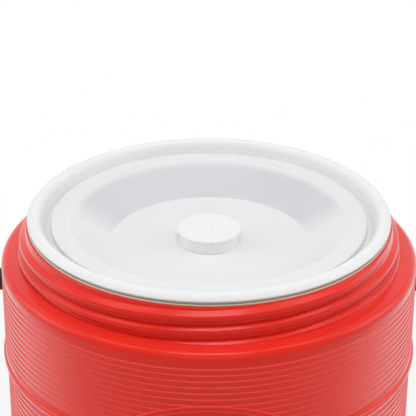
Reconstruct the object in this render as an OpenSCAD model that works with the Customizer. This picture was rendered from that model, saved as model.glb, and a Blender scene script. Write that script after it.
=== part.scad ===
// Insulated beverage dispenser: a double-walled round jug with a press tap,
// a swinging bail handle and a lift-out inner lid. Millimetres, +Z up,
// the tap faces -Y and the handle turns about X.

/* [Body] */
// Radius of the ribbed body just under the shoulder
body_r = 139.3; // [132:0.1:150]
// Height of the flat shoulder above the floor
shoulder_z = 320.3; // [300:0.1:345]
// Rounding of the shoulder's outer edge
shoulder_fillet = 5; // [1:0.1:6]
// Wall of the outer shell
shell_wall = 3; // [2.6:0.1:4]
// Radius lost per millimetre of height, from the shoulder down
draft = 0.004; // [0:0.001:0.008]
// Drop from the shoulder to the centre of the upper belt
belt_drop = 70.5; // [60:0.1:85]
// Height of the lower belt above the floor
low_belt_z = 104; // [98:1:120]
// Height of a belt bead
belt_h = 5.2; // [3:0.1:8]
// Crest of a belt over the wall above it
belt_proud = 1.45; // [0.6:0.05:2.5]
// Step inwards from above the upper belt to below it
belt_step = 0.85; // [0:0.05:1.5]

/* [Ribs] */
// Distance between two lapped ribs
rib_pitch = 4.32; // [3.5:0.01:8]
// Height of the sloping ledge on top of each rib
rib_h = 1; // [0.6:0.1:2]
// Step of a rib out from the band above it
rib_d = 0.6; // [0.3:0.05:1]
// Drop from the shoulder to the first rib's ledge
rib_drop = 10.6; // [5:0.1:12]
// Drop from a belt's centre to the next rib's ledge
belt_to_rib = 6.5; // [5.5:0.1:10]

/* [Front panel] */
// Drop from the shoulder to the centre of the oval panel
panel_drop = 78.3; // [72:0.1:90]
// Half width of the oval frame
panel_a = 64; // [45:0.5:72]
// Half height of the oval frame
panel_b = 43; // [30:0.5:50]
// Width of the raised frame band
frame_w = 4.4; // [2.5:0.1:7]
// Height of the frame over the ribs
frame_proud = 0.9; // [0.5:0.1:1.2]
// Flats round the oval outline
panel_n = 72; // [48:4:120]

/* [Neck and thread] */
// Width of the flat shoulder outside the neck
shoulder_w = 14.8; // [12:0.1:20]
// Wall of the neck
neck_wall = 4; // [3:0.1:5]
// Height of the neck above the shoulder
neck_h = 22.6; // [20:0.1:28]
// Height of a thread ridge
thread_h = 3.5; // [2:0.1:4.5]
// Width of a ridge at its crest
thread_crest = 2.4; // [1:0.1:3.5]
// Height of a ridge's sloping upper flank
thread_upper = 2.6; // [1:0.1:3.2]
// Height of a ridge's steeper lower flank
thread_under = 1.6; // [0.8:0.1:2.4]
// Rise of one ridge in a full turn
thread_lead = 18.8; // [16:0.1:24]
// Number of ridges started round the neck
thread_starts = 2; // [1:1:3]
// Drop from the neck's top to a ridge at the front
thread_drop = 4.9; // [3:0.1:8]
// Sweep of each arc that a ridge is made of, in degrees
thread_arc = 30; // [24:1:45]

/* [Liner] */
// Inset of the rim bead from the neck's outside
bead_inset = 3.5; // [2:0.1:5]
// Width of the rim bead
bead_w = 8.6; // [7:0.1:10]
// Radius of the bead's outer curve
bead_round = 6.3; // [6:0.1:9]
// Radius of the bead's inner curve
bead_soft = 3; // [1.5:0.1:3.5]
// Slope of the rim's inner wall, from the bead in to the ledge
rim_slope = 1.1; // [0.6:0.1:4]
// Width of the ledge that carries the inner lid
ledge_w = 8.3; // [5:0.1:12]
// Drop from the rim to the ledge
ledge_drop = 10; // [8:0.1:14]
// Height of the rim bead over the seal
bead_h = 5.8; // [5:0.1:7]
// Wall of the liner
liner_wall = 3; // [2.5:0.1:3.5]
// Height of the liner's floor
floor_z = 34; // [28:0.5:37]
// Radius lost between mouth and floor
liner_taper = 3; // [0:0.5:6]
// Bevel between the liner's floor and its wall
floor_bevel = 2.8; // [1:0.2:4]

/* [Seal and base] */
// Thickness of the neck seal
seal_t = 1.3; // [0.8:0.1:2.5]
// Inset of the neck seal from the neck's outside
seal_inset = 3.1; // [1:0.1:3.5]
// Height of the ring foot
foot_h = 1.5; // [1:0.1:4]
// Inset of the ring foot from the body's side
foot_inset = 11.3; // [8:0.1:20]
// Width of the ring foot
foot_w = 10; // [5:0.5:16]
// Radius of the flat pad in the middle of the base
pad_r = 40; // [30:1:45]
// Thickness of the base plate's flange
base_t = 3; // [2:0.1:5]
// Height of the base plate's spigot inside the shell
spigot_h = 4.5; // [3:0.1:7]
// Radius of the foam filling hole
plug_r = 8.2; // [6:0.1:12]
// Distance of the filling hole from the axis
plug_y = 62; // [60:1:90]

/* [Inner lid] */
// Lap of the lid's flange on the ledge
lid_lap = 2.3; // [1.5:0.1:4.5]
// Thickness of the lid's flange
lid_flange_t = 3.4; // [2.8:0.1:5]
// Width of the flange outside the soft crest
flange_w = 11.6; // [9:0.1:16]
// Width of the dish's sloping side
cone_w = 27.4; // [22:0.1:42]
// Depth of the disc below the flange
lid_dish = 17.5; // [10:0.1:20]
// Wall of the lid
lid_wall = 2.6; // [2:0.1:3]
// Depth of the lid's skirt below the ledge
lid_skirt = 8; // [5:0.5:12]

/* [Lid knob] */
// Radius of the knob's lipped top
knob_r = 21.2; // [15:0.1:30]
// Height of the knob over the disc
knob_h = 10.5; // [7:0.1:14]
// Thickness of the lip
knob_lip = 1.5; // [1:0.1:2.5]
// Radius of the peg that holds the knob
peg_r = 6; // [4:0.1:9]

/* [Bail handle] */
// Drop from the shoulder to the handle's pivots
pivot_drop = 23.3; // [13:0.1:26]
// Angle of the folded handle below the horizontal
bail_tilt = 27; // [20:0.5:27]
// Straight length of each leg before the bow
bail_leg = 18; // [18:0.5:30]
// Thickness of the strap
strap_t = 5; // [3.5:0.1:7]
// Height of the strap
strap_h = 12; // [10:0.5:13]
// Thickness of the hand grip
grip_t = 10; // [8:0.5:14]
// Height of the hand grip
grip_h = 20; // [14:0.5:20]
// Sweep of the hand grip round the bow, in degrees
grip_sweep = 52; // [40:1:70]
// Height of the pivot lugs over the body's side
lug_proud = 1.6; // [1.6:0.1:4]
// Depth of the pivot lugs inside the shell
lug_depth = 9; // [7:0.5:12]
// Radius of the eye round each pivot
eye_r = 7.5; // [7:0.1:11]
// Radius of a pivot pin
pin_r = 4; // [3:0.1:5]
// Radius of a pivot pin's head
pin_head_r = 6.6; // [6.5:0.1:9]
// Thickness of a pivot pin's head
pin_head_t = 3; // [2:0.1:5]

/* [Tap] */
// Height of the tap's inlet above the floor
tap_z = 62; // [60:0.5:68]
// Radius of the boss on the shell that carries the tap
boss_r = 26; // [24:0.5:30]
// Height of that boss over the body's side
boss_proud = 1.7; // [1.2:0.1:4]
// Radius of the pad inside the liner that carries the washer
tap_pad_r = 24; // [22:0.5:27]
// Height of that pad over the liner's wall
tap_pad_t = 5; // [4.5:0.1:8]
// Radius of the tap's threaded shank
shank_r = 11; // [9.5:0.1:12]
// Bore of the shank
shank_bore = 7; // [5:0.1:7.5]
// Radius of the tap's flange
tap_flange_r = 20; // [18:0.5:23]
// Thickness of the tap's flange
tap_flange_t = 6; // [4:0.5:8]
// Thickness of the outer gasket
gasket_t = 2; // [1.5:0.1:3]
// Thickness of the inner washer
washer_t = 2.5; // [1.5:0.1:3]
// Thickness of the lock nut
nut_t = 8; // [6:0.5:10]
// Radius of the lock nut at its corners
nut_r = 20; // [17:0.5:22]
// Length of the shank past the lock nut
shank_tail = 4.5; // [2:0.1:8]
// Wall of the tap's neck between flange and barrel
tap_neck_wall = 3; // [2.5:0.1:4]
// Distance from the flange's face to the valve barrel's axis
barrel_reach = 21; // [20:0.5:30]
// Outer radius of the valve barrel
barrel_r = 15; // [14:0.1:17]
// Wall of the valve barrel
barrel_wall = 3.5; // [2.5:0.1:4]
// Radius of the spout
spout_r = 12; // [11:0.1:13.5]
// Bore of the spout
spout_bore = 9.2; // [8.5:0.1:9.8]
// Drop from the tap's inlet to the spout's lower end
spout_drop = 34; // [30:0.5:40]
// Drop from the tap's inlet to the valve seat
seat_drop = 14; // [13:0.1:16]
// Thickness of the valve seat
seat_t = 4; // [3:0.1:5]
// Radius of the valve seat's hole
seat_r = 5.5; // [5:0.1:6.5]
// Radius of the valve stem
stem_r = 1.8; // [1.4:0.1:3]
// Thickness of the valve disc
disc_t = 3; // [2:0.1:4]
// Lap of the valve disc on its seat
disc_lap = 2; // [1.5:0.1:2.5]
// Height of the collar's skirt round the barrel
collar_skirt = 5.7; // [4:0.1:9]
// Wall of the collar
collar_wall = 2.6; // [2.2:0.1:4]
// Thickness of the collar's bulkhead round the stem
bulk_t = 4; // [3.6:0.1:6]
// Depth of the collar's cup round the button
cup_h = 9; // [8:0.1:11]
// Wall of the collar's cup over that of its skirt
cup_step = 2; // [1.5:0.1:3]
// Section radius of the stem's sealing ring
ring_r = 1.2; // [0.9:0.05:1.4]
// Travel of the button
press_travel = 5; // [3:0.5:5]
// Gap left under the pressed button
press_stop = 1; // [0.6:0.1:2]
// Depth of the spring's recess under the button
recess_h = 5; // [4:0.1:6]
// Thickness of the button's crown
crown_t = 4; // [3:0.1:6]
// Mean radius of the spring
spring_r = 7; // [6:0.1:8]
// Radius of the spring's wire
wire_r = 0.6; // [0.4:0.05:0.7]

/* [Clearances] */
// Gap between foam and the walls round it
foam_gap = 0.3; // [0.2:0.05:0.6]
// Running gap of the handle and the button
run_gap = 0.1; // [0.05:0.01:0.2]
// Gap round a pressed or screwed shank
press_gap = 0.05; // [0.02:0.01:0.1]
// Gap round the shank in the walls
hole_gap = 0.6; // [0.4:0.1:1]
// Side gap of loose parts
side_gap = 0.3; // [0.2:0.05:0.5]

/* [Hidden] */
$fn = 96;
belt_z = shoulder_z - belt_drop;
panel_z = shoulder_z - panel_drop;
pivot_z = shoulder_z - pivot_drop;
neck_top = shoulder_z + neck_h;
neck_r = body_r - shoulder_w;
neck_in_r = neck_r - neck_wall;
seal_r = neck_r - seal_inset;
foot_r = body_r - foot_inset;
seal_top = neck_top + seal_t;
rim_z = seal_top + bead_h;
ledge_z = rim_z - ledge_drop;
bead_r = neck_r - bead_inset;
bead_in_r = bead_r - bead_w;
ledge_r = bead_in_r - rim_slope;
mouth_r = ledge_r - ledge_w;
liner_neck_r = ledge_r + liner_wall + 0.5;
floor_r = mouth_r - liner_taper;
// How far the bevel's outer corners shift for an even wall
bevel_shift = liner_wall * tan(22.5);
shell_bot = foot_h + base_t;
foam_bot = shell_bot + spigot_h + foam_gap;
lid_r = mouth_r + lid_lap;
lid_crest_r = lid_r - flange_w;
lid_disc_r = lid_crest_r - cone_w;
lid_top = ledge_z + lid_flange_t;
disc_z = lid_top - lid_dish;
// Pivot: the lug's face, then the eye, then the pin's head
lug_x = body_r + lug_proud;
eye_x = lug_x + run_gap;
eye_out = eye_x + strap_t;
lug_r = eye_r + 0.5;
lug_in = body_r - shell_wall - lug_depth;
// Tap, all along Y from the boss on the shell to the nut in the liner
boss_y = body_r + boss_proud;
flange_y = boss_y + gasket_t;
barrel_y = flange_y + tap_flange_t + barrel_reach;
pad_y = floor_r - tap_pad_t;
nut_y = pad_y - washer_t;
shank_end = nut_y - nut_t - shank_tail;
tap_neck_r = shank_bore + tap_neck_wall;
seat_z = tap_z - seat_drop;
chamber_z = seat_z + seat_t;
barrel_top = tap_z + tap_neck_r + side_gap + collar_skirt;
spout_bot = tap_z - spout_drop;
chamber_r = barrel_r - barrel_wall;
collar_r = barrel_r + collar_wall;
bulk_z = barrel_top + bulk_t;
cup_r = barrel_r - cup_step;
cup_top = bulk_z + cup_h;
button_r = cup_r - run_gap * 2;
button_bot = bulk_z + press_travel + press_stop;
recess_top = button_bot + recess_h;
button_top = recess_top + crown_t;
stem_top = button_top - crown_t * 0.4;
foot_z = seat_z - disc_t;
ring_seat = 2 * (ring_r + run_gap);
// Thread: overlap of two arcs in degrees, and how far the root is sunk into the neck
arc_lap = 0.4;
thread_sink = 1.2;
// Smooth wall kept over a belt
belt_room = 2.2;
// Small roundings of the neck's edges
neck_edge = 1;
neck_fillet = 1.5;

function lerp(a, b, t) = a + (b - a) * t;
function arc(r, z, rad, a0, a1, n) =
    [for (i = [0 : n]) let (a = lerp(a0, a1, i / n)) [r + rad * cos(a), z + rad * sin(a)]];

// Outer wall radius at a height, at a rib's edge and without belts
function wall_r(z) = body_r - draft * (shoulder_z - z) - (z < belt_z ? belt_step : 0);
// Ribs lap like shingles: a ledge steps out, and the band under it leans back in
function rib(z) = [[wall_r(z) - rib_d, z], [wall_r(z), z - rib_h]];
function ribs(first, last) =
    [for (k = [0 : floor((first - last) / rib_pitch)]) each rib(first - k * rib_pitch)];
function belt(z) =
    [for (a = [90 : -15 : -90]) let (t = (1 + sin(a)) / 2)
        [lerp(wall_r(z - belt_h), wall_r(z + belt_h), t)
            + (belt_proud + (wall_r(z + belt_h) - wall_r(z - belt_h)) / 2) * cos(a),
         z + belt_h / 2 * sin(a)]];
function oval(a, b) =
    [for (i = [0 : panel_n - 1]) let (t = 360 * i / panel_n) [a * cos(t), b * sin(t)]];

// Solid outline of the shell, from the neck's top down to its lower edge
function shell_outline() = concat(
    [[0, neck_top], [neck_r - neck_edge, neck_top], [neck_r, neck_top - neck_edge]],
    arc(neck_r + neck_fillet, shoulder_z + neck_fillet, neck_fillet, 180, 270, 3),
    arc(body_r - shoulder_fillet, shoulder_z - shoulder_fillet, shoulder_fillet, 90, 0, 6),
    ribs(shoulder_z - rib_drop, belt_z + belt_h / 2 + belt_room),
    belt(belt_z),
    ribs(belt_z - belt_to_rib, low_belt_z + belt_h / 2 + belt_room),
    belt(low_belt_z),
    [[wall_r(shell_bot + 2), shell_bot + 2], [wall_r(shell_bot) - 1.2, shell_bot], [0, shell_bot]]);

// Space inside the shell, open at the neck and at the bottom; gap shrinks it
function cavity_outline(gap, bot, top) = [
    [0, bot],
    [wall_r(shell_bot) - shell_wall - gap, bot],
    [body_r - shell_wall - gap, shoulder_z - shell_wall - gap],
    [neck_in_r - gap, shoulder_z - shell_wall - gap],
    [neck_in_r - gap, top],
    [0, top]];

// Outside of the liner up to the bead; gap grows it
function liner_outline(gap, top) = [
    [0, floor_z - liner_wall - gap],
    [floor_r - floor_bevel + bevel_shift, floor_z - liner_wall - gap],
    [floor_r + liner_wall + gap, floor_z + floor_bevel - bevel_shift],
    [mouth_r + liner_wall + gap, ledge_z - 13],
    [liner_neck_r + gap, ledge_z - 3],
    [liner_neck_r + gap, top],
    [0, top]];

module along_y(y) {
    translate([0, -y, tap_z])
        rotate([90, 0, 0])
            children();
}

module tap_tube(r, from, to) {
    along_y(from)
        cylinder(r = r, h = to - from);
}

// One ridge of the neck thread: short arcs of a ring, each leaned to the ridge's slope,
// lower at both ends where the ridge runs out
module thread_ridge(turn) {
    root_r = neck_r - thread_sink;
    front_z = neck_top - thread_drop;
    a0 = (shoulder_z - thread_crest / 2 - thread_upper - front_z) / thread_lead * 360;
    a1 = (neck_top - 1.8 - front_z) / thread_lead * 360;
    n = ceil((a1 - a0) / thread_arc);
    step = (a1 - a0) / n;
    slope = atan(thread_lead / (2 * PI * (neck_r + thread_h / 2)));
    deep = 1 + thread_sink / thread_h;
    for (i = [0 : n - 1])
        let (a = a0 + (i + 0.5) * step,
             crest_r = neck_r + thread_h * (i == 0 || i == n - 1 ? 0.55 : 1))
        rotate([0, 0, a - 90 + turn])
            translate([0, 0, front_z + a / 360 * thread_lead])
                rotate([slope, 0, 0])
                    rotate([0, 0, -step / 2 - arc_lap])
                        rotate_extrude(angle = step + 2 * arc_lap)
                            polygon([[root_r, -thread_crest / 2 - thread_under * deep],
                                [crest_r, -thread_crest / 2], [crest_r, thread_crest / 2],
                                [root_r, thread_crest / 2 + thread_upper * deep]]);
}

// Trims the ridges just under the neck's top
module thread_trim() {
    rotate_extrude()
        polygon([[neck_r - 0.3, neck_top + 0.5], [neck_r + 7, neck_top - 1.9],
            [neck_r + 7, neck_top + 6], [neck_r - 0.3, neck_top + 6]]);
}

module panel_prism(a, b) {
    translate([0, 0, panel_z])
        rotate([90, 0, 0])
            linear_extrude(body_r + 20)
                polygon(oval(a, b));
}

// Band of wall behind the panel, between two offsets from the wall's line
module panel_band(d0, d1) {
    z0 = panel_z - panel_b - 3;
    z1 = panel_z + panel_b + 3;
    w0 = wall_r(z0);
    w1 = wall_r(z1) - belt_step / 2;
    rotate_extrude()
        polygon([[w0 + d0, z0], [w0 + d1, z0], [w1 + d1, z1], [w1 + d0, z1]]);
}

module oval_panel() {
    difference() {
        intersection() {
            panel_band(-2.6, frame_proud + 0.3);
            panel_prism(panel_a, panel_b);
        }
        intersection() {
            panel_band(0.1, 12);
            panel_prism(panel_a - frame_w, panel_b - frame_w);
        }
    }
}

module pivot_lug(side) {
    translate([side * lug_in, 0, pivot_z])
        rotate([0, side * 90, 0])
            cylinder(r = lug_r, h = lug_x - lug_in);
}

module outer_shell() {
    color("firebrick")
    difference() {
        union() {
            difference() {
                union() {
                    difference() {
                        rotate_extrude()
                            polygon(shell_outline());
                        intersection() {
                            panel_band(-1.8, 12);
                            panel_prism(panel_a - 0.3, panel_b - 0.3);
                        }
                    }
                    oval_panel();
                    tap_tube(boss_r, body_r - shell_wall - lug_depth, boss_y);
                    for (k = [0 : thread_starts - 1])
                        thread_ridge(k * 360 / thread_starts);
                }
                rotate_extrude()
                    polygon(cavity_outline(0, shell_bot - 1, neck_top + 1));
                thread_trim();
            }
            pivot_lug(1);
            pivot_lug(-1);
        }
        tap_tube(shank_r + hole_gap, body_r - 20, boss_y + 1);
        for (side = [-1, 1])
            translate([side * (lug_in - 1), 0, pivot_z])
                rotate([0, side * 90, 0])
                    cylinder(r = pin_r + press_gap, h = lug_x - lug_in + 2);
    }
}

module liner() {
    crown_r = bead_in_r + bead_soft;
    edge = acos((bead_r - crown_r) / bead_round);
    undercut = 1.4;
    color("whitesmoke")
    difference() {
        union() {
            rotate_extrude()
                polygon(concat(
                    [for (p = liner_outline(0, seal_top)) if (p[0] > 0) p],
                    [[bead_r - undercut, seal_top]],
                    arc(crown_r, rim_z - bead_round, bead_round, edge, 90, 4),
                    arc(crown_r, rim_z - bead_soft, bead_soft, 110, 180, 4),
                    [[ledge_r, ledge_z], [mouth_r, ledge_z],
                     [floor_r, floor_z + floor_bevel], [floor_r - floor_bevel, floor_z],
                     [0, floor_z], [0, floor_z - liner_wall]]));
            intersection() {
                tap_tube(tap_pad_r, pad_y, mouth_r + liner_wall);
                rotate_extrude()
                    polygon(liner_outline(-0.8, ledge_z));
            }
        }
        tap_tube(shank_r + hole_gap, pad_y - 5, mouth_r + liner_wall + 5);
    }
}

module neck_seal() {
    color("antiquewhite")
    translate([0, 0, neck_top])
        difference() {
            cylinder(r = seal_r, h = seal_t);
            translate([0, 0, -1])
                cylinder(r = liner_neck_r + side_gap, h = seal_t + 2);
        }
}

module insulation_foam() {
    color("khaki")
    difference() {
        rotate_extrude()
            polygon(cavity_outline(foam_gap, foam_bot, neck_top - foam_gap));
        rotate_extrude()
            polygon(liner_outline(foam_gap, neck_top + 1));
        tap_tube(shank_r + hole_gap + foam_gap, mouth_r - 20, body_r + 5);
        for (side = [-1, 1])
            translate([side * (lug_in - foam_gap), 0, pivot_z])
                rotate([0, side * 90, 0])
                    cylinder(r = lug_r + foam_gap, h = body_r - lug_in);
    }
}

module base_plate() {
    spigot_r = wall_r(shell_bot) - shell_wall - side_gap;
    color("darkred")
    difference() {
        union() {
            translate([0, 0, foot_h])
                cylinder(r = wall_r(shell_bot) - 1.2, h = base_t);
            translate([0, 0, shell_bot])
                cylinder(r = spigot_r, h = spigot_h);
            difference() {
                cylinder(r = foot_r, h = foot_h + 1);
                translate([0, 0, -1])
                    cylinder(r = foot_r - foot_w, h = foot_h + 3);
            }
            cylinder(r = pad_r, h = foot_h + 1);
        }
        translate([0, plug_y, -1])
            cylinder(r = plug_r, h = foam_bot + 2);
    }
}

module foam_plug() {
    head_t = foot_h * 0.8;
    color("dimgray")
    translate([0, plug_y, 0]) {
        translate([0, 0, foot_h - head_t])
            cylinder(r = plug_r + 3, h = head_t);
        translate([0, 0, foot_h - head_t / 2])
            cylinder(r = plug_r - press_gap, h = base_t + spigot_h + head_t / 2);
    }
}

module bow(r, t, h, a0, sweep) {
    rotate([0, 0, a0])
        rotate_extrude(angle = sweep)
            translate([r, -h / 2])
                square([t, h]);
}

module bail_handle() {
    soft = 2.5;
    color("black")
    translate([0, 0, pivot_z])
        rotate([-bail_tilt, 0, 0])
            difference() {
                union() {
                    translate([0, bail_leg, 0]) {
                        bow(eye_x, strap_t, strap_h, 0, 180);
                        rotate([0, 0, 90 - grip_sweep / 2])
                            rotate_extrude(angle = grip_sweep)
                                translate([eye_x + 3, -grip_h / 2])
                                    polygon([[0, soft], [soft, 0], [grip_t - soft, 0],
                                        [grip_t, soft], [grip_t, grip_h - soft],
                                        [grip_t - soft, grip_h], [soft, grip_h],
                                        [0, grip_h - soft]]);
                    }
                    for (side = [-1, 1]) {
                        translate([side * (eye_x + strap_t / 2), bail_leg / 2, 0])
                            cube([strap_t, bail_leg, strap_h], center = true);
                        translate([side * eye_x, 0, 0])
                            rotate([0, side * 90, 0])
                                cylinder(r = eye_r, h = strap_t);
                    }
                }
                for (side = [-1, 1])
                    translate([side * (eye_x - 1), 0, 0])
                        rotate([0, side * 90, 0])
                            cylinder(r = pin_r + run_gap, h = strap_t + 2);
            }
}

module pivot_pin(side) {
    dome = min(1.2, pin_head_t * 0.4);
    start = lug_in + 1;
    head = eye_out + side_gap;
    color("dimgray")
    translate([side * start, 0, pivot_z])
        rotate([0, side * 90, 0])
            rotate_extrude()
                polygon([[0, 0], [pin_r - 0.6, 0], [pin_r, 0.6], [pin_r, head - start],
                    [pin_head_r, head - start], [pin_head_r, head - start + pin_head_t - dome],
                    [pin_head_r - dome, head - start + pin_head_t],
                    [0, head - start + pin_head_t]]);
}

module inner_lid() {
    skirt_r = mouth_r - side_gap;
    hang = ledge_z - lid_skirt;
    color("ghostwhite")
    difference() {
        rotate_extrude()
            polygon([[0, disc_z], [lid_disc_r - 1.5, disc_z], [lid_disc_r, disc_z + 0.4],
                [lid_crest_r - 4, lid_top - 1.6], [lid_crest_r - 1.5, lid_top - 0.1],
                [lid_crest_r + 0.5, lid_top + 0.2], [lid_crest_r + 3, lid_top],
                [lid_r - 0.8, lid_top - 0.2], [lid_r, lid_top - 1], [lid_r, ledge_z],
                [skirt_r, ledge_z], [skirt_r - 0.6, hang], [skirt_r - lid_wall, hang],
                [skirt_r - lid_wall, ledge_z + lid_flange_t - lid_wall],
                [lid_crest_r + 1, ledge_z + lid_flange_t - lid_wall],
                [lid_disc_r + 0.5, disc_z - lid_wall], [0, disc_z - lid_wall]]);
        translate([0, 0, disc_z - lid_wall - 1])
            cylinder(r = peg_r + press_gap, h = lid_wall + 2);
    }
}

module lid_knob() {
    side_r = knob_r - 1;
    lip_z = knob_h - knob_lip;
    tail = lid_wall + 1.4;
    color("ghostwhite")
    translate([0, 0, disc_z])
        rotate_extrude()
            polygon([[0, -tail], [peg_r - 0.8, -tail], [peg_r, 0.8 - tail],
                [peg_r, 0], [side_r + 0.2, 0], [side_r - 0.2, lip_z - 0.6], [knob_r, lip_z],
                [knob_r, knob_h - 0.5], [knob_r - 0.5, knob_h], [2, knob_h - 0.2],
                [1.2, knob_h + 0.3], [0, knob_h + 0.3]]);
}

module tap_body() {
    color("white")
    difference() {
        union() {
            tap_tube(shank_r, shank_end, flange_y + 1);
            tap_tube(tap_flange_r, flange_y, flange_y + tap_flange_t);
            tap_tube(tap_neck_r, flange_y + 1, barrel_y);
            translate([0, -barrel_y, seat_z - seat_t])
                cylinder(r = barrel_r, h = barrel_top - seat_z + seat_t);
            translate([0, -barrel_y, spout_bot])
                cylinder(r = spout_r, h = seat_z - spout_bot);
        }
        tap_tube(shank_bore, shank_end - 1, barrel_y);
        translate([0, -barrel_y, chamber_z])
            cylinder(r = chamber_r, h = barrel_top);
        translate([0, -barrel_y, spout_bot])
            cylinder(r = seat_r, h = chamber_z - spout_bot + 1);
        translate([0, -barrel_y, spout_bot - 1])
            cylinder(r = spout_bore, h = seat_z - spout_bot + 1);
    }
}

module tap_ring(r, from, to, hole) {
    difference() {
        tap_tube(r, from, to);
        tap_tube(hole, from - 1, to + 1);
    }
}

module tap_outer_gasket() {
    color("dimgray")
        tap_ring(tap_flange_r - 1.5, boss_y, flange_y, shank_r + side_gap);
}

module tap_inner_washer() {
    color("dimgray")
        tap_ring(nut_r - 0.5, nut_y, pad_y, shank_r + side_gap);
}

module tap_nut() {
    color("white")
    difference() {
        along_y(nut_y - nut_t)
            linear_extrude(nut_t)
                polygon([for (i = [0 : 5]) [nut_r * cos(60 * i), nut_r * sin(60 * i)]]);
        tap_tube(shank_r + press_gap, nut_y - nut_t - 1, nut_y + 1);
    }
}

// Screwed bonnet: skirt over the barrel, bulkhead with the stem's hole, cup for the button
module tap_collar() {
    color("white")
    translate([0, -barrel_y, 0])
        rotate_extrude()
            polygon([[stem_r + run_gap, barrel_top + ring_seat], [stem_r + run_gap, bulk_z],
                [cup_r, bulk_z], [cup_r, cup_top], [collar_r - 1, cup_top],
                [collar_r, cup_top - 1], [collar_r, barrel_top - collar_skirt],
                [barrel_r + press_gap, barrel_top - collar_skirt],
                [barrel_r + press_gap, barrel_top],
                [stem_r + ring_seat + run_gap, barrel_top],
                [stem_r + ring_seat + run_gap, barrel_top + ring_seat]]);
}

module tap_o_ring() {
    color("dimgray")
    translate([0, -barrel_y, barrel_top + ring_seat / 2])
        rotate_extrude()
            translate([stem_r + (ring_seat + run_gap) / 2, 0])
                circle(r = ring_r, $fn = 32);
}

module tap_button() {
    color("firebrick")
    translate([0, -barrel_y, 0])
        rotate_extrude()
            polygon([[stem_r + press_gap, recess_top], [stem_r + press_gap, stem_top + press_gap],
                [0, stem_top + press_gap], [0, button_top + 0.6], [button_r - 4, button_top],
                [button_r - 1, button_top - 0.5], [button_r, button_top - 1.6],
                [button_r, button_bot], [spring_r + 2, button_bot], [spring_r + 2, recess_top]]);
}

module tap_stem() {
    color("silver")
    translate([0, -barrel_y, 0])
        rotate_extrude()
            polygon([[0, foot_z - disc_t / 2], [stem_r + 1.5, foot_z - disc_t / 2],
                [stem_r + 1.5, foot_z], [stem_r, foot_z], [stem_r, stem_top], [0, stem_top]]);
}

module tap_valve_disc() {
    color("dimgray")
    translate([0, -barrel_y, 0])
        rotate_extrude()
            polygon([[stem_r + press_gap, foot_z], [seat_r + disc_lap * 0.8, foot_z],
                [seat_r + disc_lap, foot_z + disc_t * 0.2], [seat_r + disc_lap, seat_z],
                [stem_r + press_gap, seat_z]]);
}

module tap_spring() {
    turns = 5;
    steps = 20;
    n = turns * steps;
    low = bulk_z + wire_r + 0.1;
    high = recess_top - wire_r - 0.1;
    pts = [for (i = [0 : n]) let (a = 360 * i / steps, z = lerp(low, high, i / n))
        for (k = [0 : 5])
            let (r = spring_r + wire_r * cos(60 * k))
            [r * cos(a), r * sin(a), z + wire_r * sin(60 * k)]];
    sides = [for (i = [0 : n - 1]) for (k = [0 : 5])
        let (p = 6 * i + k, q = 6 * i + (k + 1) % 6)
        each [[p, p + 6, q + 6], [p, q + 6, q]]];
    ends = [[0, 1, 2, 3, 4, 5], [for (k = [5 : -1 : 0]) 6 * n + k]];
    color("silver")
    translate([0, -barrel_y, 0])
        polyhedron(points = pts, faces = concat(sides, ends), convexity = 8);
}

outer_shell();
liner();
neck_seal();
insulation_foam();
base_plate();
foam_plug();
bail_handle();
pivot_pin(-1);  // left_pivot_pin
pivot_pin(1);  // right_pivot_pin
inner_lid();
lid_knob();
tap_body();
tap_outer_gasket();
tap_inner_washer();
tap_nut();
tap_collar();
tap_o_ring();
tap_button();
tap_stem();
tap_valve_disc();
tap_spring();
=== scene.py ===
"""Looks of an insulated beverage dispenser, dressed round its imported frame.

Metres, +Z up, the tap faces -Y and the handle turns about X. Each class makes one sub-assembly.
"""
import logging
import math
from collections.abc import Callable, Iterator, Sequence
from contextlib import contextmanager
from dataclasses import dataclass
from enum import Enum, IntEnum

import bpy
from mathutils import Matrix, Vector


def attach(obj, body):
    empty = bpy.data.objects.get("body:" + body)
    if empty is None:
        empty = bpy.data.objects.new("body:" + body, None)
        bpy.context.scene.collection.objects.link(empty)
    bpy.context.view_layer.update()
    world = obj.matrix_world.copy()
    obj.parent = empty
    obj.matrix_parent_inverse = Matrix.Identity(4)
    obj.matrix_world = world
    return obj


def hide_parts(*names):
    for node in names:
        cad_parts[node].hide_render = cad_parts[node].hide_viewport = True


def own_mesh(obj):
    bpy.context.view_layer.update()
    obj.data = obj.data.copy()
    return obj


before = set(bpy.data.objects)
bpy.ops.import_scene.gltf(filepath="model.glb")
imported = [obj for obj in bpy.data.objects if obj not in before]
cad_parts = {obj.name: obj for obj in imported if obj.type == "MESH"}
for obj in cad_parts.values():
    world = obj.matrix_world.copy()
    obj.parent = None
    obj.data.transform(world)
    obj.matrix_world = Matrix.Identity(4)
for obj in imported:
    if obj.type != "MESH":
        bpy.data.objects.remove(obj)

LOG = logging.getLogger("dispenser")
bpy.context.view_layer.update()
MM = 0.001
MERGE = 0.004 * MM
FIT = 0.05 * MM
CREASE = 38.0
SIDE_SHARE = 0.49
FULL_TURN = 2 * math.pi
QUARTER = math.pi / 2
ORIGIN = (0.0, 0.0, 0.0)
ALONG_MINUS_Y = (QUARTER, 0.0, 0.0)
Point = tuple[float, float]
Corner = tuple[float, float, float]
Place = tuple[float, float, float]
Rgb = tuple[float, float, float]
Mesh = bpy.types.Object


class Body(Enum):
    """Bodies of the frame that pieces ride on."""
    JUG = "jug"
    BAIL = "bail"
    LID = "lid"
    BUTTON = "button"


class Join(Enum):
    """Ways to combine two solids."""
    ADD = "UNION"
    CUT = "DIFFERENCE"


class Facets(IntEnum):
    """Stretches of one whole turn."""
    HOLE = 32
    SMALL = 48
    TAP = 72
    ROUND = 96
    FINE = 160


def clamp(t: float) -> float:
    """Keep a share between 0 and 1."""
    return min(1.0, max(0.0, t))


def ease(t: float) -> float:
    """Smooth step from 0 to 1."""
    t = clamp(t)
    return t * t * (3 - 2 * t)


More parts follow.
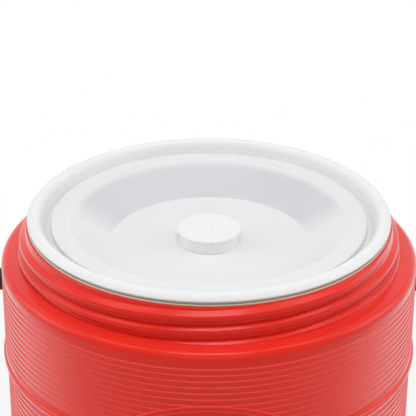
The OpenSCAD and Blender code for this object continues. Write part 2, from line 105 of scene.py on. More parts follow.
def mix(a: float, b: float, t: float) -> float:
    """Straight line from a to b."""
    return a + (b - a) * t


def linear(red: int, green: int, blue: int) -> Rgb:
    """Turn a screen colour of 0 to 255 into the shader's linear one."""
    return tuple(c / 12.92 if c <= 0.04045 else ((c + 0.055) / 1.055) ** 2.4
                 for c in (red / 255, green / 255, blue / 255))


def at_radius(at: Vector, r: float) -> Vector:
    """Bring a point to a distance from the Z axis, at its own height and turn."""
    share = r / math.hypot(at.x, at.y)
    return Vector((at.x * share, at.y * share, at.z))


def arc(r: float, z: float, radius: float, start: float, end: float, steps: int) -> list[Point]:
    """Points of a circular arc in an outline.

    Args:
        r, z: Centre of the arc.
        radius: Its radius.
        start, end: Angles in degrees from +r towards +z.
        steps: Number of stretches.

    Returns:
        The points, both ends among them.
    """
    turns = [math.radians(mix(start, end, i / steps)) for i in range(steps + 1)]
    return [(r + radius * math.cos(a), z + radius * math.sin(a)) for a in turns]


def soften(corners: Sequence[Corner], closed: bool | None = None, steps: int = 4) -> list[Point]:
    """Round the corners of an outline.

    Args:
        corners: Radius, height and rounding of each corner. The rounding is the length in mm
            that is taken off both sides; 0 keeps the corner sharp.
        closed: Whether the last point joins the first. If not given, it does so unless the
            outline starts on the axis.
        steps: Stretches of each rounding.

    Returns:
        The outline with curved corners.
    """
    if closed is None:
        closed = corners[0][0] > 0
    spots = [Vector((r, z)) for r, z, _ in corners]
    count = len(corners)
    rounded: list[Point] = []
    for i, (r, z, soft) in enumerate(corners):
        if soft <= 0 or (not closed and i in (0, count - 1)):
            rounded.append((r, z))
            continue
        here = spots[i]
        back, on = spots[i - 1] - here, spots[(i + 1) % count] - here
        reach = min(soft * MM, back.length * SIDE_SHARE, on.length * SIDE_SHARE)
        first, last = here + back.normalized() * reach, here + on.normalized() * reach
        for k in range(steps + 1):
            t = k / steps
            p = first * (1 - t) ** 2 + here * (2 * t * (1 - t)) + last * t ** 2
            rounded.append((p.x, p.y))
    return rounded


class Bench:
    """Hand operations that all pieces are made with."""

    @staticmethod
    def clear() -> None:
        """Go to object mode with nothing selected."""
        if bpy.context.mode != "OBJECT":
            bpy.ops.object.mode_set(mode="OBJECT")
        bpy.ops.object.select_all(action="DESELECT")

    @classmethod
    def pick(cls, piece: Mesh) -> None:
        """Select one piece alone and make it active.

        Args:
            piece: The piece.
        """
        cls.clear()
        piece.select_set(True)
        bpy.context.view_layer.objects.active = piece

    @classmethod
    @contextmanager
    def editing(cls, piece: Mesh) -> Iterator[None]:
        """Open a piece in edit mode for a few operators, with all of it selected.

        Args:
            piece: The piece.

        Yields:
            Nothing; edit mode is left afterwards.
        """
        cls.pick(piece)
        bpy.ops.object.mode_set(mode="EDIT")
        bpy.ops.mesh.select_all(action="SELECT")
        yield
        bpy.ops.object.mode_set(mode="OBJECT")

    @staticmethod
    def name(piece: Mesh, name: str) -> Mesh:
        """Give a piece and its mesh one name."""
        piece.name = piece.data.name = name
        return piece

    @classmethod
    def seat(cls, piece: Mesh, location: Place = ORIGIN, rotation: Place = ORIGIN) -> None:
        """Turn and move a piece, and put its place into its mesh.

        Args:
            piece: The piece.
            location, rotation: Where it goes.
        """
        cls.pick(piece)
        piece.rotation_euler = rotation
        piece.location = location
        bpy.ops.object.transform_apply(location=True, rotation=True, scale=True)

    @classmethod
    def tidy(cls, piece: Mesh, angle: float = CREASE) -> None:
        """Merge doubles, turn the faces outwards and smooth all but sharp edges.

        Args:
            piece: Mesh to finish.
            angle: Edges sharper than this, in degrees, stay crisp.
        """
        with cls.editing(piece):
            bpy.ops.mesh.remove_doubles(threshold=MERGE)
            bpy.ops.mesh.normals_make_consistent(inside=False)
        bpy.ops.object.shade_smooth_by_angle(angle=math.radians(angle))

    @classmethod
    def trace(cls, name: str, outline: Sequence[Point]) -> Mesh:
        """Draw an outline in the XZ plane by extruding one vertex along it.

        Args:
            name: Name of the new piece.
            outline: Points as radius and height, closed unless they start on the axis.

        Returns:
            The piece, in edit mode, with all of it selected.
        """
        cls.clear()
        start = outline[0]
        bpy.ops.mesh.primitive_plane_add(size=MM, location=(start[0], 0, start[1]))
        piece = cls.name(bpy.context.object, name)
        bpy.ops.object.transform_apply(location=True, rotation=False, scale=False)
        bpy.ops.object.mode_set(mode="EDIT")
        bpy.ops.mesh.select_mode(type="VERT")
        bpy.ops.mesh.select_all(action="SELECT")
        bpy.ops.mesh.merge(type="CENTER")
        route = list(outline) + ([start] if start[0] > 0 else [])
        for (r0, z0), (r1, z1) in zip(route, route[1:]):
            bpy.ops.mesh.extrude_region_move(
                TRANSFORM_OT_translate={"value": (r1 - r0, 0, z1 - z0)})
        bpy.ops.mesh.select_all(action="SELECT")
        bpy.ops.mesh.remove_doubles(threshold=MERGE)
        return piece

    @classmethod
    def turned(cls, name: str, outline: Sequence[Point], steps: int = Facets.ROUND,
               location: Place = ORIGIN, rotation: Place = ORIGIN, angle: float = CREASE,
               sectors: Sequence[tuple[float, int]] = ()) -> Mesh:
        """Turn an outline round Z as on a lathe.

        Args:
            name: Name of the piece.
            outline: Points as radius and height, closed unless they start on the axis.
            steps: Stretches of the whole turn.
            location, rotation: Where the turned piece goes.
            angle: Edges sharper than this, in degrees, stay crisp.
            sectors: Sweep in degrees and steps of each part of the turn, where they differ.

        Returns:
            The finished mesh piece.
        """
        piece = cls.trace(name, outline)
        for sweep, count in sectors or ((360.0, steps),):
            bpy.ops.mesh.spin(steps=int(count), angle=math.radians(-sweep), center=ORIGIN,
                              axis=(0, 0, 1), use_auto_merge=True)
        cls.tidy(piece, angle)
        cls.seat(piece, location, rotation)
        return piece

    @classmethod
    def lathe(cls, name: str, corners: Sequence[Corner], **how: object) -> Mesh:
        """Round an outline's corners and turn it, with how as the rest that turned takes."""
        return cls.turned(name, soften(corners), **how)

    @classmethod
    def screwed(cls, name: str, outline: Sequence[Point], turns: float, lead: float,
                steps: int) -> Mesh:
        """Screw a closed outline up round Z and close its ends.

        Args:
            name: Name of the piece.
            outline: Points as radius and height.
            turns: How often it goes round.
            lead: Rise of one turn.
            steps: Stretches of one turn.

        Returns:
            The closed piece, still at the origin.
        """
        piece = cls.trace(name, outline)
        cls.pick(piece)
        screw = piece.modifiers.new("screw", "SCREW")
        screw.axis = "Z"
        screw.angle = turns * FULL_TURN
        screw.screw_offset = turns * lead
        screw.steps = screw.render_steps = round(turns * steps)
        bpy.ops.object.modifier_apply(modifier=screw.name)
        with cls.editing(piece):
            bpy.ops.mesh.fill_holes(sides=0)
        return piece

    @classmethod
    def bar(cls, name: str, thick: float, high: float, soft: float, radius: float,
            start: float, sweep: float, steps: int) -> Mesh:
        """Sweep a soft-cornered bar section round Z.

        Args:
            name: Name of the piece.
            thick, high: Section's size across and along Z.
            soft: Rounding of its corners.
            radius: Radius of its inner side.
            start, sweep: Angles of the sweep in degrees.
            steps: Stretches of the sweep.

        Returns:
            The closed bar, still at the origin.
        """
        cls.clear()
        bpy.ops.mesh.primitive_plane_add(size=1, rotation=ALONG_MINUS_Y)
        piece = cls.name(bpy.context.object, name)
        piece.scale = (thick, high, 1)
        piece.location = (radius + thick / 2, 0, 0)
        bpy.ops.object.transform_apply(location=True, rotation=True, scale=True)
        with cls.editing(piece):
            bpy.ops.mesh.bevel(offset=soft, segments=4, affect="VERTICES")
            bpy.ops.mesh.select_all(action="SELECT")
            bpy.ops.mesh.spin(steps=steps, angle=math.radians(-sweep), center=ORIGIN,
                              axis=(0, 0, 1))
        cls.tidy(piece)
        cls.seat(piece, rotation=(0, 0, math.radians(start)))
        return piece

    @classmethod
    def combine(cls, piece: Mesh, tool: Mesh, how: Join) -> None:
        """Add a tool shape to a piece or cut it away, and drop the tool.

        Args:
            piece: Piece that stays.
            tool: Solid that is used up.
            how: Whether it is added or cut away.
        """
        cls.pick(piece)
        change = piece.modifiers.new("combine", "BOOLEAN")
        change.operation = how.value
        change.solver = "EXACT"
        change.object = tool
        bpy.ops.object.modifier_apply(modifier=change.name)
        bpy.data.objects.remove(tool)
        cls.tidy(piece)

    @classmethod
    def drill(cls, piece: Mesh, radius: float, low: float, high: float,
              steps: int = Facets.SMALL, **spot: Place) -> None:
        """Cut a round hole into a piece.

        Args:
            piece: Piece to drill.
            radius: Radius of the hole.
            low, high: Where the drill starts and ends along its axis.
            steps: Stretches round the hole.
            spot: Location and rotation of the drill.
        """
        tool = cls.turned("drill", [(0, low), (radius, low), (radius, high), (0, high)], steps,
                          **spot)
        cls.combine(piece, tool, Join.CUT)

    @classmethod
    def trim(cls, piece: Mesh, low: float, high: float) -> None:
        """Cut a piece level at two heights and keep what lies between them.

        Args:
            piece: Piece to trim.
            low, high: Heights of the cuts.
        """
        for z, above in ((low, True), (high, False)):
            with cls.editing(piece):
                bpy.ops.mesh.bisect(plane_co=(0, 0, z), plane_no=(0, 0, 1), use_fill=True,
                                    clear_inner=above, clear_outer=not above)

    @staticmethod
    def reshape(piece: Mesh, rule: Callable[[Vector], Vector]) -> None:
        """Move each vertex to where a rule puts it.

        Args:
            piece: Piece to shape.
            rule: Gives a point its new place.
        """
        for vertex in piece.data.vertices:
            vertex.co = rule(vertex.co)
        piece.data.update()


class Val:
    """A shader socket that takes part in arithmetic."""

    def __init__(self, graph: "Graph", socket: bpy.types.NodeSocket) -> None:
        """Hold a socket and the graph it belongs to."""
        self.graph = graph
        self.socket = socket

    def __add__(self, other: "Val | float") -> "Val":
        """Sum."""
        return self.graph.maths("ADD", self, other)

    def __sub__(self, other: "Val | float") -> "Val":
        """Difference."""
        return self.graph.maths("SUBTRACT", self, other)

    def __rsub__(self, other: "Val | float") -> "Val":
        """Difference from a number."""
        return self.graph.maths("SUBTRACT", other, self)

    def __mul__(self, other: "Val | float") -> "Val":
        """Product."""
        return self.graph.maths("MULTIPLY", self, other)

    __radd__ = __add__
    __rmul__ = __mul__

    def over(self, low: float, high: float) -> "Val":
        """Spread the stretch from low to high over 0 to 1, smoothly."""
        return self.graph.node("ShaderNodeMapRange", {"interpolation_type": "SMOOTHSTEP"},
                               {"Value": self, "From Min": low, "From Max": high})


class Graph:
    """Node graph of one material or of the world."""

    def __init__(self, owner: bpy.types.Material | bpy.types.World) -> None:
        """Open the graph.

        Args:
            owner: The material or world.
        """
        self.owner = owner
        owner.use_nodes = True
        self.tree = owner.node_tree

    def node(self, kind: str, settings: dict | None = None, inputs: dict | None = None,
             out: int | str = 0) -> Val:
        """Add a node.

        Args:
            kind: The node's type.
            settings: Attributes that are set first.
            inputs: Numbers or Vals for its sockets.
            out: Output to return.

        Returns:
            That output as a Val.
        """
        made = self.tree.nodes.new(kind)
        for key, value in (settings or {}).items():
            setattr(made, key, value)
        for key, value in (inputs or {}).items():
            self.feed(made.inputs[key], value)
        return Val(self, made.outputs[out])

    def feed(self, socket: bpy.types.NodeSocket, value: object) -> None:
        """Link a Val to a socket, or set a constant on it.

        Args:
            socket: The input to feed.
            value: A Val, a colour or a number.
        """
        if isinstance(value, Val):
            self.tree.links.new(value.socket, socket)
        elif isinstance(value, tuple) and socket.type == "RGBA":
            socket.default_value = (*value, 1.0)
        else:
            socket.default_value = value

    def maths(self, operation: str, a: Val | float, b: Val | float) -> Val:
        """Add one Math node."""
        return self.node("ShaderNodeMath", {"operation": operation}, {0: a, 1: b})

    def place(self, stretch: Rgb = (1.0, 1.0, 1.0)) -> Val:
        """Object coordinates, stretched along the axes."""
        spot = self.node("ShaderNodeTexCoord", out="Object")
        return self.node("ShaderNodeMapping", None, {"Vector": spot, "Scale": stretch})

    def out_from_axis(self) -> Val:
        """Distance of a point from the jug's upright axis."""
        flat = self.node("ShaderNodeVectorMath", {"operation": "MULTIPLY"},
                         {0: self.place(), 1: (1.0, 1.0, 0.0)})
        return self.node("ShaderNodeVectorMath", {"operation": "LENGTH"}, {0: flat}, "Value")

    def along(self, axis: str) -> Val:
        """Place of a point along one axis of the jug."""
        return self.node("ShaderNodeSeparateXYZ", None, {0: self.place()}, axis)

    def facing_up(self) -> Val:
        """Upward share of the face's direction."""
        facing = self.node("ShaderNodeNewGeometry", out="Normal")
        return self.node("ShaderNodeSeparateXYZ", None, {0: facing}, "Z")

    def noise(self, size: float, detail: float = 2.0, stretch: Rgb = (1.0, 1.0, 1.0)) -> Val:
        """Noise whose lumps are about the given size."""
        return self.node("ShaderNodeTexNoise", None,
                         {"Vector": self.place(stretch), "Scale": 1 / size, "Detail": detail})

    def clouds(self, size: float) -> Val:
        """Soft flow clouds of about the given size."""
        return self.noise(size, 3).over(0.35, 0.68)

    def tint(self, share: Val, a: Rgb | Val, b: Rgb | Val) -> Val:
        """Blend two colours."""
        return self.node("ShaderNodeMix", {"data_type": "RGBA"}, {0: share, 6: a, 7: b}, 2)

    def bump(self, height: Val, depth: float, strength: float = 1.0) -> Val:
        """Normals raised by a height."""
        return self.node("ShaderNodeBump", None,
                         {"Height": height, "Distance": depth, "Strength": strength})

    def seen(self) -> Val:
        """Share of rays that see the surroundings: camera, glossy and transmitted ones."""
        camera, glossy, through = (self.node("ShaderNodeLightPath", out=f"Is {kind} Ray")
                                   for kind in ("Camera", "Glossy", "Transmission"))
        return self.maths("MAXIMUM", self.maths("MAXIMUM", camera, glossy), through)

    def surface(self, **sockets: object) -> bpy.types.Material:
        """Feed the surface shader.

        Args:
            sockets: Values by socket name, with an underscore for a space.

        Returns:
            The material.
        """
        shader = self.tree.nodes["Principled BSDF"]
        for key, value in sockets.items():
            self.feed(shader.inputs[key.replace("_", " ")], value)
        return self.owner

    def show(self, shader: Val) -> None:
        """Make a shader the one that is seen."""
        output = next(n for n in self.tree.nodes if n.bl_idname.startswith("ShaderNodeOutput"))
        self.tree.links.new(shader.socket, output.inputs["Surface"])


@dataclass(frozen=True)
class Finish:
    """What every finish has: the slot's name."""
    name: str

    def graph(self) -> Graph:
        """Start the finish's material."""
        return Graph(bpy.data.materials.new(self.name))


@dataclass(frozen=True)
class MouldedPlastic(Finish):
    """Moulded plastic with flow clouds, fine mould grain and faint handling scuffs."""
    colour: Rgb
    cloud: Rgb
    roughness: float = 0.36
    swing: float = 0.08
    specular: float = 0.4
    grain: float = 0.7 * MM
    grain_depth: float = 0.02 * MM
    cloud_size: float = 60 * MM
    scuff: float = 0.25
    scuff_size: float = 9 * MM
    ripple_size: float = 14 * MM
    sheen: float = 0.0
    skin: float = 0.0
    # Painted highlight: a paler tone on up-facing ledges below a height, for the light they catch.
    ledge_highlight: Rgb | None = None
    ledge_highlight_below: float = 313 * MM

    def build(self) -> bpy.types.Material:
        """Make the material; where a tone is given, ledges low on the wall that face up get it as a
        painted highlight.

        Returns:
            The material.
        """
        g = self.graph()
        clouds = g.clouds(self.cloud_size)
        scuffs = g.noise(self.scuff_size, 5, (0.35, 0.35, 2.2)).over(0.6, 0.8) * self.scuff
        height = g.noise(self.grain, 1) * 0.6 + g.noise(self.ripple_size, 1) * 0.8
        colour = g.tint(clouds * 0.7 + scuffs * 0.3, self.colour, self.cloud)
        # Painted highlight: ledges that face up, low on the wall, are lightened as if catching
        # light.
        if self.ledge_highlight:
            ledge = (g.facing_up().over(0.15, 0.5)
                     * (1 - g.along("Z").over(self.ledge_highlight_below - 2 * MM, self.ledge_highlight_below)))
            colour = g.tint(ledge, colour, self.ledge_highlight)
        return g.surface(
            Base_Color=colour,
            Roughness=self.roughness + clouds * self.swing + scuffs * 0.12,
            Specular_IOR_Level=self.specular,
            Sheen_Weight=self.sheen,
            Sheen_Roughness=0.34,
            Coat_Weight=self.skin,
            Coat_Roughness=0.2,
            Coat_IOR=1.25,
            Normal=g.bump(height, self.grain_depth))


@dataclass(frozen=True)
class BackShadedLid(Finish):
    """White plastic with painted shade on the back of its dished wall, and a painted highlight on
    the knob.
    """
    knob_highlight: Rgb
    colour: Rgb
    back_shade: Rgb
    inner: float = 66.3 * MM
    outer: float = 90 * MM
    behind: float = 36 * MM
    knob_r: float = 22 * MM
    knob_foot: float = 327.5 * MM

    def build(self) -> bpy.types.Material:
        """Make the material.

        Returns:
            The material.
        """
        g = self.graph()
        out = g.out_from_axis()
        # Painted shade: the dished wall between the disc and the flange is darkened towards the
        # back.
        back_shade = (out.over(self.inner - 1 * MM, self.inner + 1 * MM)
                * (1 - out.over(self.outer - 3 * MM, self.outer + 3.5 * MM))
                * g.along("Y").over(0, self.behind))
        # Painted highlight: the knob gets a lighter white than the rest of the lid.
        knob = ((1 - out.over(self.knob_r, self.knob_r + 1 * MM))
                * g.along("Z").over(self.knob_foot - 1 * MM, self.knob_foot))
        wall = g.tint(knob, self.colour, self.knob_highlight)
        clouds = g.clouds(45 * MM)
        return g.surface(
            Base_Color=g.tint(back_shade * (0.85 + clouds * 0.15), wall, self.back_shade),
            Roughness=0.44 + clouds * 0.06 + back_shade * 0.06,
            Specular_IOR_Level=0.25,
            Normal=g.bump(g.noise(0.8 * MM, 1), 0.02 * MM))


@dataclass(frozen=True)
class RimmedPlastic(Finish):
    """White plastic, rougher on the sunk seat inside the rim, with painted shade on that seat and
    under the bead.
    """
    colour: Rgb
    marks_and_seat_shade: Rgb
    under_bead_shade: Rgb
    seat_r: float = 113.4 * MM
    seat_top: float = 348.2 * MM
    gap_r: float = 116.5 * MM
    gap_top: float = 345.8 * MM

    def build(self) -> bpy.types.Material:
        """Make the material.

        Returns:
            The material.
        """
        g = self.graph()
        out, height = g.out_from_axis(), g.along("Z")
        # Painted shade: the sunk seat inside the rim is darkened, as in a shaded recess.
        seat = ((1 - out.over(self.seat_r - 1 * MM, self.seat_r + 1 * MM))
                * (1 - height.over(self.seat_top - 3.5 * MM, self.seat_top)))
        # Painted shade: a dark band just under the bead's outer edge, where the bead shades it.
        gap = (out.over(self.gap_r - 0.5 * MM, self.gap_r + 0.5 * MM)
               * (1 - height.over(self.gap_top - 0.2 * MM, self.gap_top + 0.2 * MM)))
        clouds = g.clouds(50 * MM)
        with_seat_shade = g.tint(seat * (0.9 + clouds * 0.1), self.colour, self.marks_and_seat_shade)
        return g.surface(
            Base_Color=g.tint(gap, with_seat_shade, self.under_bead_shade),
            Roughness=0.42 + clouds * 0.06 + seat * 0.1,
            Specular_IOR_Level=0.14,
            Normal=g.bump(g.noise(0.7 * MM, 1), 0.02 * MM))


@dataclass(frozen=True)
class Rubber(Finish):
    """Matt rubber with a speckled, slightly bloomed skin."""
    colour: Rgb
    bloom: Rgb

    def build(self) -> bpy.types.Material:
        """Make the material.

        Returns:
            The material.
        """
        g = self.graph()
        bloom = g.noise(7 * MM, 4).over(0.45, 0.75)
        return g.surface(
            Base_Color=g.tint(bloom, self.colour, self.bloom),
            Roughness=0.62 + bloom * 0.2,
            Normal=g.bump(g.noise(0.5 * MM, 1), 0.03 * MM, 0.8))


@dataclass(frozen=True)
class Foam(Finish):
    """Rigid foam with open cells on its cut skin."""
    colour: Rgb
    cell: Rgb
    cell_size: float = 1.6 * MM

    def build(self) -> bpy.types.Material:
        """Make the material.

        Returns:
            The material.
        """
        g = self.graph()
        cells = g.node("ShaderNodeTexVoronoi", None,
                       {"Vector": g.place(), "Scale": 1 / self.cell_size})
        share = cells.over(0.1, 0.6)
        return g.surface(
            Base_Color=g.tint(share, self.cell, self.colour),
            Roughness=0.85 + share * 0.1,
            Normal=g.bump(cells, 0.4 * MM))


@dataclass(frozen=True)
class DrawnSteel(Finish):
    """Bright drawn wire with fine marks along its draw."""
    colour: Rgb
    marks_and_seat_shade: Rgb

    def build(self) -> bpy.types.Material:
        """Make the material.

        Returns:
            The material.
        """
        g = self.graph()
        marks = g.noise(0.6 * MM, 3, (0.2, 0.2, 4.0))
        return g.surface(
            Base_Color=g.tint(marks, self.colour, self.marks_and_seat_shade),
            Metallic=1.0,
            Roughness=0.2 + marks * 0.25,
            Normal=g.bump(marks, 0.01 * MM, 0.6))


class Finishes:
    """All finishes, by the record's slot name."""

    def __init__(self) -> None:
        """Make each material once."""
        red = linear(235, 36, 18)
        made = [
            # The red shell's ledge tone is a painted highlight on its rib ledges.
            MouldedPlastic("red_shell", red, linear(230, 34, 16), 0.28, specular=0.08,
                           sheen=0.85, skin=0.8, ledge_highlight=linear(245, 67, 55)),
            # The liner's second tone is painted shade on its seat; the third is painted shade under
            # the bead.
            RimmedPlastic("white_liner", linear(237, 237, 235), linear(227, 227, 225),
                          linear(182, 187, 173)),
            Rubber("cream_seal", linear(222, 202, 184), linear(228, 212, 196)),
            Foam("foam", linear(226, 205, 140), linear(186, 160, 96)),
            MouldedPlastic("red_base", linear(214, 32, 20), linear(200, 28, 18), 0.48),
            MouldedPlastic("black_plastic", linear(26, 26, 28), linear(38, 38, 40), 0.5,
                           grain=1.1 * MM, grain_depth=0.06 * MM),
            MouldedPlastic("black_pin", linear(30, 30, 32), linear(44, 44, 46), 0.38),
            # The lid's third tone is painted shade on the back of the dish; its first is a painted
            # highlight on the knob.
            BackShadedLid("white_lid", linear(237, 237, 237), linear(230, 230, 230),
                          linear(206, 206, 209)),
            MouldedPlastic("white_tap", linear(236, 236, 234), linear(228, 228, 226), 0.3),
            Rubber("grey_rubber", linear(70, 71, 74), linear(92, 93, 96)),
            MouldedPlastic("red_button", red, linear(222, 30, 18), 0.3),
            MouldedPlastic("white_stem", linear(222, 222, 220), linear(212, 212, 210), 0.34),
            DrawnSteel("spring_steel", linear(196, 198, 202), linear(150, 152, 156)),
        ]
        self.by_slot = {finish.name: finish.build() for finish in made}

    def wear(self, piece: Mesh, slot: str) -> None:
        """Put a slot's material on a piece."""
        piece.data.materials.clear()
        piece.data.materials.append(self.by_slot[slot])

    def settle(self, piece: Mesh, slot: str, body: Body, *nodes: str) -> None:
        """Dress a piece, and tie it to its body and to the nodes it stands for.

        Args:
            piece: The finished mesh.
            slot: Material slot of the record.
            body: Body that it rides on.
            nodes: Frame nodes that it replaces.
        """
        self.wear(piece, slot)
        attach(piece, body.value)
        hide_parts(*nodes)
        LOG.info("%s rides on %s in %s: %d faces", piece.name, body.value, slot,
                 len(piece.data.polygons))

    def keep(self, node: str, slot: str) -> None:
        """Give a frame node that stays in view its finish."""
        self.wear(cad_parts[node], slot)
        LOG.info("%s stays, in %s", node, slot)


@dataclass
class Shell:
    """Red outer shell: ribbed wall, shoulder, threaded neck, oval panel, boss and lugs."""
    body_r: float = 139.3 * MM
    shoulder_z: float = 320.3 * MM
    shoulder_w: float = 14.8 * MM
    shoulder_fillet: float = 5 * MM
    wall: float = 3 * MM
    draft: float = 0.004
    belt_drop: float = 70.5 * MM
    low_belt_z: float = 104 * MM
    belt_h: float = 5.2 * MM
    belt_proud: float = 1.45 * MM
    belt_step: float = 0.85 * MM
    belt_room: float = 2.2 * MM
    rib_pitch: float = 4.32 * MM
    rib_h: float = 1.05 * MM
    rib_d: float = 0.7 * MM
    rib_drop: float = 10.6 * MM
    belt_to_rib: float = 6.5 * MM
    neck_h: float = 22.6 * MM
    neck_wall: float = 4 * MM
    neck_fillet: float = 1.5 * MM
    neck_edge: float = 1 * MM
    neck_taper: float = 2.5 * MM
    thread_h: float = 3.5 * MM
    thread_crest: float = 2.4 * MM
    thread_upper: float = 2.4 * MM
    thread_under: float = 1.6 * MM
    thread_root: float = 1.2 * MM
    thread_lead: float = 18.8 * MM
    thread_starts: int = 2
    thread_drop: float = 5.3 * MM
    thread_facets: int = 144
    run_out: float = 0.07
    panel_drop: float = 79.4 * MM
    panel_a: float = 64 * MM
    panel_b: float = 43 * MM
    frame_w: float = 4.4 * MM
    frame_proud: float = 0.9 * MM
    bottom_z: float = 4.5 * MM
    bottom_soft: float = 2 * MM
    boss_r: float = 26 * MM
    boss_proud: float = 1.7 * MM
    boss_hole: float = 11.6 * MM
    boss_depth: float = 6 * MM
    tap_z: float = 62 * MM
    pivot_drop: float = 23.3 * MM
    lug_r: float = 8 * MM
    lug_proud: float = 1.6 * MM
    lug_face: float = 0.3 * MM
    lug_depth: float = 9 * MM
    sectors: tuple[tuple[float, int], ...] = ((240, 120), (60, 110), (60, 30))

    def __post_init__(self) -> None:
        """Work out the places that follow from the driving sizes."""
        self.neck_r = self.body_r - self.shoulder_w
        self.neck_in_r = self.neck_r - self.neck_wall
        self.neck_top = self.shoulder_z + self.neck_h
        self.belt_z = self.shoulder_z - self.belt_drop
        self.panel_z = self.shoulder_z - self.panel_drop
        self.pivot_z = self.shoulder_z - self.pivot_drop
        self.lug_low = self.body_r - self.wall - self.lug_depth

    def wall_r(self, z: float) -> float:
        """Radius of the wall at a height, without ribs or belts."""
        step = self.belt_step if z < self.belt_z else 0.0
        return self.body_r - self.draft * (self.shoulder_z - z) - step

    def panel_r(self, z: float) -> float:
        """Radius of the smooth oval panel at a height.

        Args:
            z: The height.

        Returns:
            The radius, just clear of the wall.
        """
        low, high = self.panel_z - self.panel_b, self.panel_z + self.panel_b
        top = self.wall_r(high) - self.belt_step / 2
        return mix(self.wall_r(low), top, (z - low) / (high - low)) + 0.1 * MM

    def rib(self, z: float) -> list[Point]:
        """Top of one shingled rib: a narrow ledge that faces up."""
        r = self.wall_r(z)
        return [(r - self.rib_d, z), (r - self.rib_d * 0.1, z - self.rib_h * 0.8),
                (r, z - self.rib_h * 1.1)]

    def ribs(self, first: float, belt_z: float) -> list[Point]:
        """All ribs from one height down to just above a belt.

        Args:
            first: Height of the top rib.
            belt_z: Middle of the belt below.

        Returns:
            Their points, from the top down.
        """
        last = belt_z + self.belt_h / 2 + self.belt_room
        count = int((first - last) / self.rib_pitch) + 1
        return [p for k in range(count) for p in self.rib(first - k * self.rib_pitch)]

    def belt(self, z: float, steps: int = 12) -> list[Point]:
        """Half-round belt that also takes up the step in the wall.

        Args:
            z: Height of the belt's middle.
            steps: Stretches of its curve.

        Returns:
            Its points, from the top down.
        """
        low, high = self.wall_r(z - self.belt_h), self.wall_r(z + self.belt_h)
        proud = self.belt_proud + (high - low) / 2
        turns = [math.radians(90 - 180 * k / steps) for k in range(steps + 1)]
        return [(mix(low, high, (1 + math.sin(a)) / 2) + proud * math.cos(a),
                 z + self.belt_h / 2 * math.sin(a)) for a in turns]

    def outline(self) -> list[Point]:
        """Outline of the wall: down the outside and up the inside.

        Returns:
            The closed outline.
        """
        edge, foot, fillet = self.neck_edge, self.neck_fillet, self.shoulder_fillet
        soft = self.bottom_soft
        low_r = self.wall_r(self.bottom_z)
        return (
            [(self.neck_in_r, self.neck_top)]
            + arc(self.neck_r - self.neck_taper - edge, self.neck_top - edge, edge, 90, 0, 3)
            + arc(self.neck_r + foot, self.shoulder_z + foot, foot, 180, 270, 4)
            + arc(self.body_r - fillet, self.shoulder_z - fillet, fillet, 90, 0, 7)
            + self.ribs(self.shoulder_z - self.rib_drop, self.belt_z)
            + self.belt(self.belt_z)
            + self.ribs(self.belt_z - self.belt_to_rib, self.low_belt_z)
            + self.belt(self.low_belt_z)
            + arc(low_r - soft, self.bottom_z + soft, soft, 0, -60, 4)
            + [(low_r - self.wall, self.bottom_z),
               (self.body_r - self.wall, self.shoulder_z - self.wall),
               (self.neck_in_r, self.shoulder_z - self.wall)])

    def build_thread(self, start: int, name: str) -> Mesh:
        """Screw one ridge of the thread up the neck and trim it at the shoulder and the top.

        Args:
            start: Which of the thread's starts.
            name: Name of the piece.

        Returns:
            The closed ridge.
        """
        crest, sunk = self.thread_crest / 2, 0.7 * MM
        top, foot = crest + self.thread_upper, -crest - self.thread_under
        side = self.neck_r
        root, tip = side - self.thread_root, side + self.thread_h
        front_z = self.neck_top - self.thread_drop
        first = (self.shoulder_z - top - 0.5 * MM - front_z) / self.thread_lead
        last = (self.neck_top - 1.8 * MM - front_z) / self.thread_lead
        low = front_z + first * self.thread_lead
        outline = soften([(root, low + foot - sunk, 0), (side, low + foot, 0.6),
                          (tip, low - crest, 0.5), (tip, low + crest, 0.5),
                          (side, low + top, 0.6), (root, low + top + sunk, 0)])
        piece = Bench.screwed(name, outline, last - first, self.thread_lead, self.thread_facets)
        offset = start / self.thread_starts
        Bench.seat(piece, rotation=(0, 0, (first - offset - 0.25) * FULL_TURN))

        def run_out(at: Vector) -> Vector:
            """Lower the ridge where it ends, and lean it with the neck.

            Args:
                at: Point of the ridge.

            Returns:
                Its new place.
            """
            turn = math.atan2(at.y, at.x) / FULL_TURN + 0.25 + offset
            run = turn + round((at.z - front_z) / self.thread_lead - turn)
            keep = mix(0.25, 1, ease((last - run) / self.run_out))
            lean = self.neck_taper * clamp((at.z - self.shoulder_z) / self.neck_h)
            return at_radius(at, root + (math.hypot(at.x, at.y) - root) * keep - lean)

        Bench.reshape(piece, run_out)
        Bench.trim(piece, self.shoulder_z - 1 * MM, self.neck_top - 0.4 * MM)
        Bench.tidy(piece, angle=22)
        return piece

    def inside_oval(self, x: float, z: float) -> bool:
        """Tell whether a point of the front lies inside the frame's middle line."""
        a, b = self.panel_a - self.frame_w / 2, self.panel_b - self.frame_w / 2
        return (x / a) ** 2 + ((z - self.panel_z) / b) ** 2 < 1

    def shape_wall(self, at: Vector) -> Vector:
        """Smooth the wall inside the oval panel.

        Args:
            at: Point of the wall.

        Returns:
            Its new place.
        """
        on_front = at.y < 0 and math.hypot(at.x, at.y) > self.body_r - 4 * MM
        if on_front and self.inside_oval(at.x, at.z):
            return at_radius(at, self.panel_r(at.z))
        return at

    def build_wall(self) -> Mesh:
        """Turn the wall, finer round the oval panel, and smooth the panel.

        Returns:
            The wall.
        """
        piece = Bench.turned("shell_wall", self.outline(), sectors=self.sectors)
        Bench.reshape(piece, self.shape_wall)
        Bench.tidy(piece, angle=17)
        return piece

    def build_frame(self) -> Mesh:
        """Make the raised oval frame and lay it on the wall.

        Returns:
            The frame.
        """
        half = self.frame_w / 2
        a, b = self.panel_a - half, self.panel_b - half
        ring = 0.25
        Bench.clear()
        bpy.ops.mesh.primitive_torus_add(major_radius=1, minor_radius=ring,
                                         major_segments=144, minor_segments=14)
        piece = Bench.name(bpy.context.object, "shell_oval_frame")

